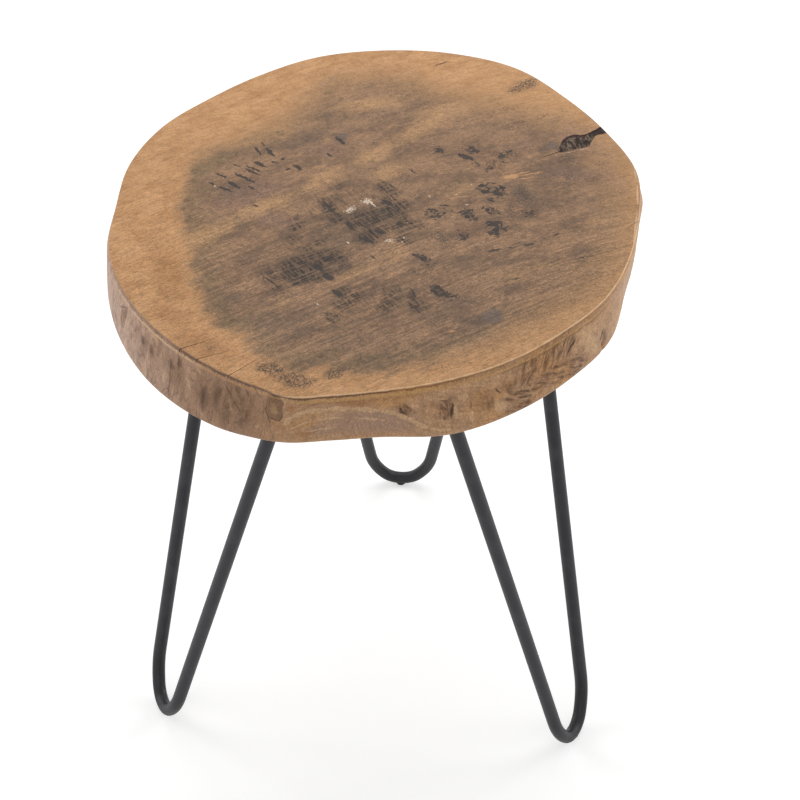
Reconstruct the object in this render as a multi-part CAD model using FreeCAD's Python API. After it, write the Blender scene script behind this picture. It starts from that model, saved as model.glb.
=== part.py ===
# Side table: one live-edge round of wood on three hairpin legs of bent steel rod
import FreeCAD, Part

import math
import os

Vector = FreeCAD.Vector
UP = Vector(0, 0, 1)

# Slab, a cross-cut round of a trunk
SLAB_DIAMETER = 368.0
SLAB_THICKNESS = 38.0
EDGE_SWELL = 12.0
TOP_ARRIS = 2.5
BOTTOM_ARRIS = 4.0
ARRIS_INSET_SHARE = 0.8

# Each row is a bearing in degrees, the rim's radius as a share of the slab's radius,
# and how far the natural edge swells out below the rim as a share of the swell
RIM_SHARES = (
    (0, 0.954, -0.05), (15, 0.992, 0.10), (30, 0.992, 0.15), (45, 1.008, 0.25),
    (60, 1.046, 0.15), (75, 1.035, 0.15), (90, 1.012, 0.15), (105, 0.993, 0.25),
    (120, 0.959, 0.35), (135, 0.945, 0.35), (150, 0.963, 0.25), (165, 0.968, 0.15),
    (180, 0.963, 0.15), (195, 1.000, 0.15), (210, 1.013, 0.50), (225, 1.019, 0.92),
    (240, 1.028, 1.00), (248, 1.035, 0.70), (254, 1.044, 0.30), (262, 1.002, 0.25),
    (272, 0.965, 0.35), (285, 0.942, 0.95), (300, 0.929, 0.85), (315, 0.922, 0.68),
    (330, 0.936, 0.40), (345, 0.939, -0.15),
)
# Each row is a height between the two arrises, and how much of the swell is there, both as shares
EDGE_PROFILE_SHARES = ((0.0, 1.0), (0.45, 0.72), (1.0, 0.0))

# Split that runs in from the rim, along the line from its mouth to its tip
SPLIT_BEARING = 30.7
SPLIT_TURN = 6.7
SPLIT_MOUTH_SHARE = 0.988
SPLIT_LENGTH = 43.0
SPLIT_WIDTH = 17.0
SPLIT_DEPTH = 14.0
# Each row is a place along the split's length and one across its width, both as shares
SPLIT_SHARES = (
    (0.0, -0.26), (0.18, -0.15), (0.34, -0.21), (0.48, -0.41), (0.67, -0.59),
    (0.82, -0.33), (1.0, 0.01), (0.84, 0.22), (0.67, 0.35), (0.45, 0.40),
    (0.29, 0.18), (0.14, 0.15), (0.0, 0.24),
)
SIDE_CHECK_TOP = 5.0
SIDE_CHECK_BOTTOM = 1.5
SIDE_CHECK_DEPTH = 9.0

# Hairpin leg: one round bar, bent once at the foot, both ends welded to a flat plate.
# The bend is tightest in its middle and runs on into the straight bars in a wider round
LEG_HEIGHT = 400.0
ROD_DIAMETER = 10.0
BEND_RADIUS = 24.2
BEND_MIDDLE_RADIUS = 18.0
BEND_MIDDLE_END = 38.5
HALF_OPENING = 7.5
LEG_LEAN = 13.0

# Bearing in degrees of each plate's middle, its reach as a share of the slab's radius,
# and how far the leg is turned from radial in degrees
LEG_PLACE_SHARES = {
    "front_left": (209.2, 0.504, -7.2),
    "front_right": (321.1, 0.519, 13.2),
    "back": (80.0, 0.443, 7.3),
}

PLATE_WIDTH = 32.0
PLATE_THICKNESS = 3.0
PLATE_END_MARGIN = 8.0
PLATE_CORNER = 5.0
PLATE_EDGE_BREAK = 0.4

WELD_LEG = 3.0
WELD_TOE = 0.5

# Countersunk wood screws, four to a plate, at shares of the distance to a rod
SCREW_PLACE_SHARES = (-0.68, -0.25, 0.25, 0.68)
SCREW_LENGTH = 25.0
SCREW_DIAMETER = 4.0
SCREW_ROOT_SHARE = 0.7
SCREW_HEAD_DIAMETER = 8.0
SCREW_HEAD_RIM = 0.3
SCREW_NECK = 3.0
SCREW_POINT = 4.0
THREAD_PITCH = 1.8
RECESS_WIDTH = 4.4
RECESS_SLOT = 1.0
RECESS_DEPTH = 1.4

HEAD_CLEARANCE = 0.1
SHANK_CLEARANCE = 0.3
PILOT_CLEARANCE = 0.1
PILOT_END_CLEARANCE = 0.5

# Plastic glide, a small round pad that grips the underside of the bend
GLIDE_DIAMETER = 7.6
GLIDE_THICKNESS = 1.0
GLIDE_LIP = 1.2
GLIDE_EDGE_BREAK = 0.3

OVERRUN = 20.0

SLAB_RADIUS = SLAB_DIAMETER / 2
ROD_RADIUS = ROD_DIAMETER / 2
PLATE_UNDERSIDE = LEG_HEIGHT - PLATE_THICKNESS
SLAB_TOP = LEG_HEIGHT + SLAB_THICKNESS


def heading(bearing):
    """The level unit vector at a bearing in degrees, counter-clockwise from +X."""
    angle = math.radians(bearing)
    return Vector(math.cos(angle), math.sin(angle), 0)


def polar(radius, bearing, height=0):
    """A point at a bearing in degrees and a height."""
    return heading(bearing) * radius + UP * height


def closed_wire(points):
    return Part.makePolygon(points + points[:1])


def prism(points, rise):
    return Part.Face(closed_wire(points)).extrude(rise)


# Slab

def rim_section(height, inset, fade):
    """One closed smooth outline of the slab, level at the given height."""
    points = []
    for bearing, rim_share, swell_share in RIM_SHARES:
        radius = SLAB_RADIUS * rim_share + EDGE_SWELL * swell_share * fade - inset
        points.append(polar(radius, bearing, height))
    curve = Part.BSplineCurve()
    curve.interpolate(Points=points, PeriodicFlag=True)
    return Part.Wire(curve.toShape())


def slab_body():
    """The round with its broken arrises and the swelling natural edge between them."""
    low = LEG_HEIGHT + BOTTOM_ARRIS
    high = SLAB_TOP - TOP_ARRIS
    sections = [rim_section(LEG_HEIGHT, BOTTOM_ARRIS * ARRIS_INSET_SHARE, 1)]
    for height_share, fade_share in EDGE_PROFILE_SHARES:
        sections.append(rim_section(low + (high - low) * height_share, 0, fade_share))
    sections.append(rim_section(SLAB_TOP, TOP_ARRIS * ARRIS_INSET_SHARE, 0))
    return Part.makeLoft(sections, True, False)


def split_cut():
    """The pocket of the split, open at the rim, and the narrow check down the edge."""
    mouth = polar(SLAB_RADIUS * SPLIT_MOUTH_SHARE, SPLIT_BEARING, SLAB_TOP)
    inward = heading(SPLIT_BEARING + 180 + SPLIT_TURN)
    across = UP.cross(inward)
    outline = [mouth + inward * (SPLIT_LENGTH * along) + across * (SPLIT_WIDTH * aside)
               for along, aside in SPLIT_SHARES]
    outline.append(outline[-1] - inward * OVERRUN)
    outline.append(outline[0] - inward * OVERRUN)
    lift = UP * OVERRUN
    pocket = prism([point + lift for point in outline], -UP * (SPLIT_DEPTH + OVERRUN))
    start = mouth + inward * SIDE_CHECK_DEPTH
    drop = UP * (SLAB_THICKNESS + OVERRUN)
    half_top = across * (SIDE_CHECK_TOP / 2)
    half_bottom = across * (SIDE_CHECK_BOTTOM / 2)
    corners = [start - half_top, start + half_top, start + half_bottom - drop, start - half_bottom - drop]
    check = prism(corners, -inward * (SIDE_CHECK_DEPTH + OVERRUN))
    return pocket.fuse(check)


def make_slab():
    slab = slab_body().cut(split_cut())
    for name in LEG_PLACE_SHARES:
        for hole in pilot_holes():
            slab = slab.cut(placed(hole, name))
    return slab


# Legs, each drawn with its plate's middle above the origin, its plane along X and +Y pointing outwards

def leg_point(across, along):
    """A point of the leaning leg plane: across it, and along it up from the floor."""
    lean = math.radians(LEG_LEAN)
    foot_reach = PLATE_UNDERSIDE * math.tan(lean)
    return Vector(across, foot_reach - along * math.sin(lean), along * math.cos(lean))


def bend_centre():
    """How far up the leg plane the bend's centre lies, so that the bar stands on its glide."""
    return (GLIDE_THICKNESS + ROD_RADIUS) / math.cos(math.radians(LEG_LEAN)) + BEND_RADIUS


def rod_at(height):
    """Half the distance between the two bars at a level height, and the height along the leg."""
    opening = math.radians(HALF_OPENING)
    along = height / math.cos(math.radians(LEG_LEAN))
    straight = along - (bend_centre() - BEND_RADIUS * math.sin(opening))
    return BEND_RADIUS * math.cos(opening) + straight * math.tan(opening), along


def bend_points():
    """Half the bend, as distances across and up from its lowest point: where its tight middle ends,
    then the halfway point and the end of the wider round that touches the straight bar."""
    opening, middle_end = math.radians(HALF_OPENING), math.radians(BEND_MIDDLE_END)
    across = BEND_MIDDLE_RADIUS * math.cos(middle_end)
    rise = BEND_MIDDLE_RADIUS * (1 - math.sin(middle_end))
    bar = BEND_RADIUS * math.cos(opening) + (rise - BEND_RADIUS * (1 - math.sin(opening))) * math.tan(opening)
    span = math.cos(opening) - math.cos(middle_end) - (math.sin(middle_end) - math.sin(opening)) * math.tan(opening)
    wide = (bar - across) / span
    points = [(across, rise)]
    for angle in ((opening + middle_end) / 2, opening):
        points.append((across + wide * (math.cos(angle) - math.cos(middle_end)),
                       rise + wide * (math.sin(middle_end) - math.sin(angle))))
    return points


def full_rod():
    """The bent bar, longer than it needs to be at both ends."""
    half, along = rod_at(LEG_HEIGHT + OVERRUN)
    lowest = bend_centre() - BEND_RADIUS
    joint, between, touch = bend_points()
    start, end = leg_point(-half, along), leg_point(half, along)
    left_joint, right_joint = [leg_point(side * joint[0], lowest + joint[1]) for side in (-1, 1)]
    left_between, right_between = [leg_point(side * between[0], lowest + between[1]) for side in (-1, 1)]
    left, right = [leg_point(side * touch[0], lowest + touch[1]) for side in (-1, 1)]
    path = Part.Wire([
        Part.LineSegment(start, left).toShape(),
        Part.Arc(left, left_between, left_joint).toShape(),
        Part.Arc(left_joint, leg_point(0, lowest), right_joint).toShape(),
        Part.Arc(right_joint, right_between, right).toShape(),
        Part.LineSegment(right, end).toShape(),
    ])
    profile = Part.Wire(Part.makeCircle(ROD_RADIUS, start, left - start))
    return path.makePipeShell([profile], True, False)


def level_block(low, high):
    """A block that spans the whole leg between two heights."""
    side = 2 * (LEG_HEIGHT + OVERRUN)
    return Part.makeBox(side, side, high - low, Vector(-side / 2, -side / 2, low))


def make_rod():
    return full_rod().cut(level_block(PLATE_UNDERSIDE, LEG_HEIGHT + 2 * OVERRUN))


def landing(side):
    """Where a bar's centre line meets the plate's underside, side being -1 or 1."""
    half, along = rod_at(PLATE_UNDERSIDE)
    return leg_point(side * half, along)


def screw_places():
    half = rod_at(PLATE_UNDERSIDE)[0]
    return [Vector(half * share, 0, PLATE_UNDERSIDE) for share in SCREW_PLACE_SHARES]


def make_plate():
    """A flat strip with round corners and four countersunk holes."""
    half = rod_at(PLATE_UNDERSIDE)[0]
    half_length = half + ROD_RADIUS + PLATE_END_MARGIN
    corner = Vector(-half_length, -PLATE_WIDTH / 2, PLATE_UNDERSIDE)
    plate = Part.makeBox(2 * half_length, PLATE_WIDTH, PLATE_THICKNESS, corner)
    upright = [edge for edge in plate.Edges
               if abs(edge.Vertexes[0].Point.z - edge.Vertexes[-1].Point.z) > PLATE_THICKNESS / 2]
    plate = plate.makeFillet(PLATE_CORNER, upright)
    outer = [edge for edge in plate.Edges if edge.BoundBox.ZMax < PLATE_UNDERSIDE + PLATE_EDGE_BREAK]
    plate = plate.makeChamfer(PLATE_EDGE_BREAK, outer)
    head = SCREW_HEAD_DIAMETER / 2 + HEAD_CLEARANCE
    shank = (SCREW_DIAMETER + SHANK_CLEARANCE) / 2
    for place in screw_places():
        plate = plate.cut(Part.makeCylinder(shank, 2 * OVERRUN, place - UP * OVERRUN))
        plate = plate.cut(Part.makeCylinder(head, SCREW_HEAD_RIM + OVERRUN, place - UP * OVERRUN))
        sink = Part.makeCone(head, shank, head - shank, place + UP * SCREW_HEAD_RIM)
        plate = plate.cut(sink)
    return plate


def make_welds():
    """A fillet bead round each bar, from the plate's underside down onto the bar."""
    rod = full_rod()
    beads = []
    slant = 1 / math.cos(math.radians(LEG_LEAN)) / math.cos(math.radians(HALF_OPENING))
    for side in (-1, 1):
        top = landing(side)
        half, along = rod_at(PLATE_UNDERSIDE - WELD_LEG)
        foot = leg_point(side * half, along)
        wide = Part.Wire(Part.makeCircle(ROD_RADIUS * slant + WELD_LEG, top))
        narrow = Part.Wire(Part.makeCircle(ROD_RADIUS * slant + WELD_TOE, foot))
        bead = Part.makeLoft([narrow, wide], True, True)
        beads.append(bead.cut(rod))
    return Part.makeCompound(beads)


def screw_profile():
    """Half the outline of a screw, its head's flat face at the origin and its point at +Z."""
    crest = SCREW_DIAMETER / 2
    root = crest * SCREW_ROOT_SHARE
    head = SCREW_HEAD_DIAMETER / 2
    neck_end = SCREW_HEAD_RIM + head - crest + SCREW_NECK
    thread_end = SCREW_LENGTH - SCREW_POINT
    outline = [(0, 0), (head, 0), (head, SCREW_HEAD_RIM), (crest, SCREW_HEAD_RIM + head - crest),
               (crest, neck_end - THREAD_PITCH / 2)]
    turns = int((thread_end - neck_end) / THREAD_PITCH)
    for turn in range(turns):
        level = neck_end + turn * THREAD_PITCH
        outline.append((root, level))
        outline.append((crest, level + THREAD_PITCH / 2))
    outline.append((root, neck_end + turns * THREAD_PITCH))
    outline.append((0, SCREW_LENGTH))
    return outline


def make_screw():
    outline = [Vector(radius, 0, level) for radius, level in screw_profile()]
    screw = Part.Face(closed_wire(outline)).revolve(Vector(0, 0, 0), UP, 360)
    for width, depth in ((RECESS_WIDTH, RECESS_SLOT), (RECESS_SLOT, RECESS_WIDTH)):
        corner = Vector(-width / 2, -depth / 2, -OVERRUN)
        screw = screw.cut(Part.makeBox(width, depth, OVERRUN + RECESS_DEPTH, corner))
    return screw


def make_screws():
    screw = make_screw()
    screws = []
    for place in screw_places():
        one = screw.copy()
        one.translate(place)
        screws.append(one)
    return Part.makeCompound(screws)


def pilot_holes():
    """The holes that a leg's screws fill in the slab."""
    radius = SCREW_DIAMETER / 2 + PILOT_CLEARANCE
    depth = SCREW_LENGTH + PILOT_END_CLEARANCE
    return [Part.makeCylinder(radius, depth, place) for place in screw_places()]


def make_glide():
    """A round pad with a broken lower edge, hollowed by the bar that it grips."""
    radius = GLIDE_DIAMETER / 2
    height = GLIDE_THICKNESS + GLIDE_LIP
    outline = [(0, 0), (radius - GLIDE_EDGE_BREAK, 0), (radius, GLIDE_EDGE_BREAK), (radius, height), (0, height)]
    pad = Part.Face(closed_wire([Vector(x, 0, z) for x, z in outline])).revolve(Vector(0, 0, 0), UP, 360)
    pad.translate(Vector(0, leg_point(0, bend_centre() - BEND_RADIUS).y, 0))
    return pad.cut(full_rod())


def placed(shape, name):
    """A copy of a leg piece, turned and moved to where that leg stands."""
    bearing, reach_share, turn = LEG_PLACE_SHARES[name]
    copy = shape.copy()
    copy.rotate(Vector(0, 0, 0), UP, bearing + turn - 90)
    copy.translate(polar(SLAB_RADIUS * reach_share, bearing))
    return copy


LEG_PIECES = {
    "leg_rod": make_rod,
    "mounting_plate": make_plate,
    "weld_beads": make_welds,
    "plate_screws": make_screws,
    "foot_glide": make_glide,
}


def main():
    os.makedirs("parts", exist_ok=True)
    nodes = {"slab_top": make_slab()}
    for piece, make in LEG_PIECES.items():
        shape = make()
        for name in LEG_PLACE_SHARES:
            nodes[name + "_" + piece] = placed(shape, name)
    for name, shape in nodes.items():
        shape.exportStep("parts/" + name + ".step")
        print(name, len(shape.Solids), round(shape.Volume), shape.isValid())


main()
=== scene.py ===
import math

import bmesh
import bpy
from mathutils import Matrix, Vector, noise
from mathutils.bvhtree import BVHTree


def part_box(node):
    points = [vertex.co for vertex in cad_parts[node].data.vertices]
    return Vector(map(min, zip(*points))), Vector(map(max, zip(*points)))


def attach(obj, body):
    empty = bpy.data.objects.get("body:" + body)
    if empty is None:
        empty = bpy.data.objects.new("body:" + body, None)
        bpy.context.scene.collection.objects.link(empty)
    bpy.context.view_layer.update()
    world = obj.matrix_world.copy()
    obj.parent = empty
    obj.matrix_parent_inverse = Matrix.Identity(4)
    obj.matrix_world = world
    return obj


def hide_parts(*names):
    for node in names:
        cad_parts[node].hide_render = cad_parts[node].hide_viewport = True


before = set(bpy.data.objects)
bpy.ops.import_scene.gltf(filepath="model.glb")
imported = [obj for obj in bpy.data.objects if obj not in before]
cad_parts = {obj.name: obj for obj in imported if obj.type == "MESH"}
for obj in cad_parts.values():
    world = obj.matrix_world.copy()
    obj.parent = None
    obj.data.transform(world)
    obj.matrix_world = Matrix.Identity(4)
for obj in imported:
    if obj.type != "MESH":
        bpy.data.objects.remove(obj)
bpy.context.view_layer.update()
mm = 0.001
up = Vector((0, 0, 1))


# The photograph's view: a square picture, looking down along +Y
view = {
    "place": (0.0164, -1.1572, 1.3669),
    "pitch": 43.692,
    "roll": 1.011,
    "lens": 99.0,
    "sensor": 36.0,
    "pictureSize": 800,
}


def makeCamera():
    data = bpy.data.cameras.new("viewCamera")
    data.lens = view["lens"]
    data.sensor_width = view["sensor"]
    data.clip_start = 0.05
    camera = bpy.data.objects.new("viewCamera", data)
    bpy.context.scene.collection.objects.link(camera)
    tilt = Matrix.Rotation(math.radians(90 - view["pitch"]), 4, "X")
    roll = Matrix.Rotation(math.radians(view["roll"]), 4, "Z")
    camera.matrix_world = Matrix.Translation(view["place"]) @ tilt @ roll
    bpy.context.scene.camera = camera
    return camera


camera = makeCamera()
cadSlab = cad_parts["slab_top"]
slabLow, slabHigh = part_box("slab_top")
slabSurface = BVHTree.FromPolygons(
    [v.co.copy() for v in cadSlab.data.vertices],
    [tuple(p.vertices) for p in cadSlab.data.polygons],
)


def photoPoint(x, y):
    # where a pixel of the photograph meets the slab, and the way its surface faces there
    half = view["pictureSize"] / 2
    focal = view["lens"] / view["sensor"] * view["pictureSize"]
    ray = camera.matrix_world.to_3x3() @ Vector(((x - half) / focal, (half - y) / focal, -1))
    start = camera.matrix_world.translation
    point, normal, _, _ = slabSurface.ray_cast(start, ray.normalized())
    if point is None:
        reach = (slabHigh.z - start.z) / ray.z
        return start + ray * reach, up.copy()
    return point, normal


# Small helpers that add nodes to the shader tree on the bench
bench = {"tree": None}


def put(value, socket):
    if isinstance(value, bpy.types.NodeSocket):
        bench["tree"].links.new(value, socket)
    else:
        socket.default_value = value


def add(kind, inputs=None, **settings):
    node = bench["tree"].nodes.new("ShaderNode" + kind)
    for name, value in settings.items():
        setattr(node, name, value)
    for key, value in (inputs or {}).items():
        put(value, node.inputs[key])
    return node


def calc(operation, first, second=0.0):
    return add("Math", {0: first, 1: second}, operation=operation).outputs[0]


def sloped(value, gain, base):
    return add("Math", {0: value, 1: gain, 2: base}, operation="MULTIPLY_ADD").outputs[0]


def highest(values):
    total = values[0]
    for value in values[1:]:
        total = calc("MAXIMUM", total, value)
    return total


def ramp(value, low, high, start=0.0, end=1.0):
    node = add("MapRange", {0: value, 1: low, 2: high, 3: start, 4: end})
    node.interpolation_type = "SMOOTHSTEP"
    return node.outputs[0]


def tone(red, green, blue):
    # a colour as the eye reads it, 0 to 255, made linear
    linear = []
    for value in (red, green, blue):
        share = value / 255
        linear.append(share / 12.92 if share <= 0.04045 else ((share + 0.055) / 1.055) ** 2.4)
    return (*linear, 1.0)


def mixTone(amount, first, second, blend="MIX"):
    node = add("Mix", data_type="RGBA", blend_type=blend)
    for key, value in ((0, amount), (6, first), (7, second)):
        put(value, node.inputs[key])
    return node.outputs[2]


def stretched(vector, scales, detail=3.0, rough=0.55, swirl=0.0, colour=False):
    # noise whose cells are longer one way: scales are cells per metre along x, y and z
    scaled = add("VectorMath", {0: vector, 1: scales}, operation="MULTIPLY").outputs[0]
    node = add("TexNoise", {"Vector": scaled, "Scale": 1.0, "Detail": detail})
    node.inputs["Roughness"].default_value = rough
    node.inputs["Distortion"].default_value = swirl
    return node.outputs["Color" if colour else "Fac"]


def turned(vector, degrees):
    angles = (0, 0, math.radians(degrees))
    return add("Mapping", {"Vector": vector, "Rotation": angles}).outputs[0]


def bent(vector, wave, amount):
    # the same coordinates, pushed about by slow noise of that many waves per metre
    push = stretched(vector, wave, detail=2.0, colour=True)
    centred = add("VectorMath", {0: push, 1: (0.5, 0.5, 0.5)}, operation="SUBTRACT")
    scaled = add("VectorMath", {0: centred.outputs[0], 1: amount}, operation="MULTIPLY")
    moved = add("VectorMath", {0: vector, 1: scaled.outputs[0]}, operation="ADD")
    return moved.outputs[0]


def spot(vector, centre, along, normal, halfLength, halfWidth, halfDepth):
    # 1 at the centre, falling to 0 at the edge of an ellipsoid laid along the surface
    across = normal.cross(along).normalized()
    frameOf = Matrix((along, across, normal)).transposed()
    node = add("Mapping", {"Vector": vector}, vector_type="TEXTURE")
    node.inputs["Location"].default_value = centre
    node.inputs["Rotation"].default_value = frameOf.to_euler("XYZ")
    node.inputs["Scale"].default_value = (halfLength, halfWidth, halfDepth)
    ball = add("TexGradient", {"Vector": node.outputs[0]}, gradient_type="SPHERICAL")
    return ball.outputs["Fac"]


def strokes(vector, marks, depth=12 * mm):
    # marks are (x0, y0, x1, y1, half width in mm[, strength]) in pixels of the photograph
    spots = []
    for mark in marks:
        start, startFaces = photoPoint(mark[0], mark[1])
        end, endFaces = photoPoint(mark[2], mark[3])
        normal = (startFaces + endFaces).normalized()
        run = end - start
        along = (run - run.dot(normal) * normal).normalized()
        reach = run.length / 2 + mark[4] * mm * 0.5
        one = spot(vector, (start + end) / 2, along, normal, reach, mark[4] * mm, depth)
        if len(mark) > 5:
            one = calc("MULTIPLY", one, mark[5])
        spots.append(one)
    return highest(spots)


def newMaterial(name):
    material = bpy.data.materials.new(name)
    material.use_nodes = True
    bench["tree"] = material.node_tree
    return material, add("TexCoord").outputs["Object"]


def wire(colour, rough, height=None, strength=0.0, reach=0.0, gloss=0.5):
    # joins the finish to the shader, with the bump's reach in millimetres
    shader = bench["tree"].nodes["Principled BSDF"]
    put(colour, shader.inputs["Base Color"])
    put(rough, shader.inputs["Roughness"])
    put(gloss, shader.inputs["Specular IOR Level"])
    if height is not None:
        bump = add("Bump", {"Height": height, "Strength": strength, "Distance": reach * mm})
        put(bump.outputs[0], shader.inputs["Normal"])
    return shader


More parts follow.
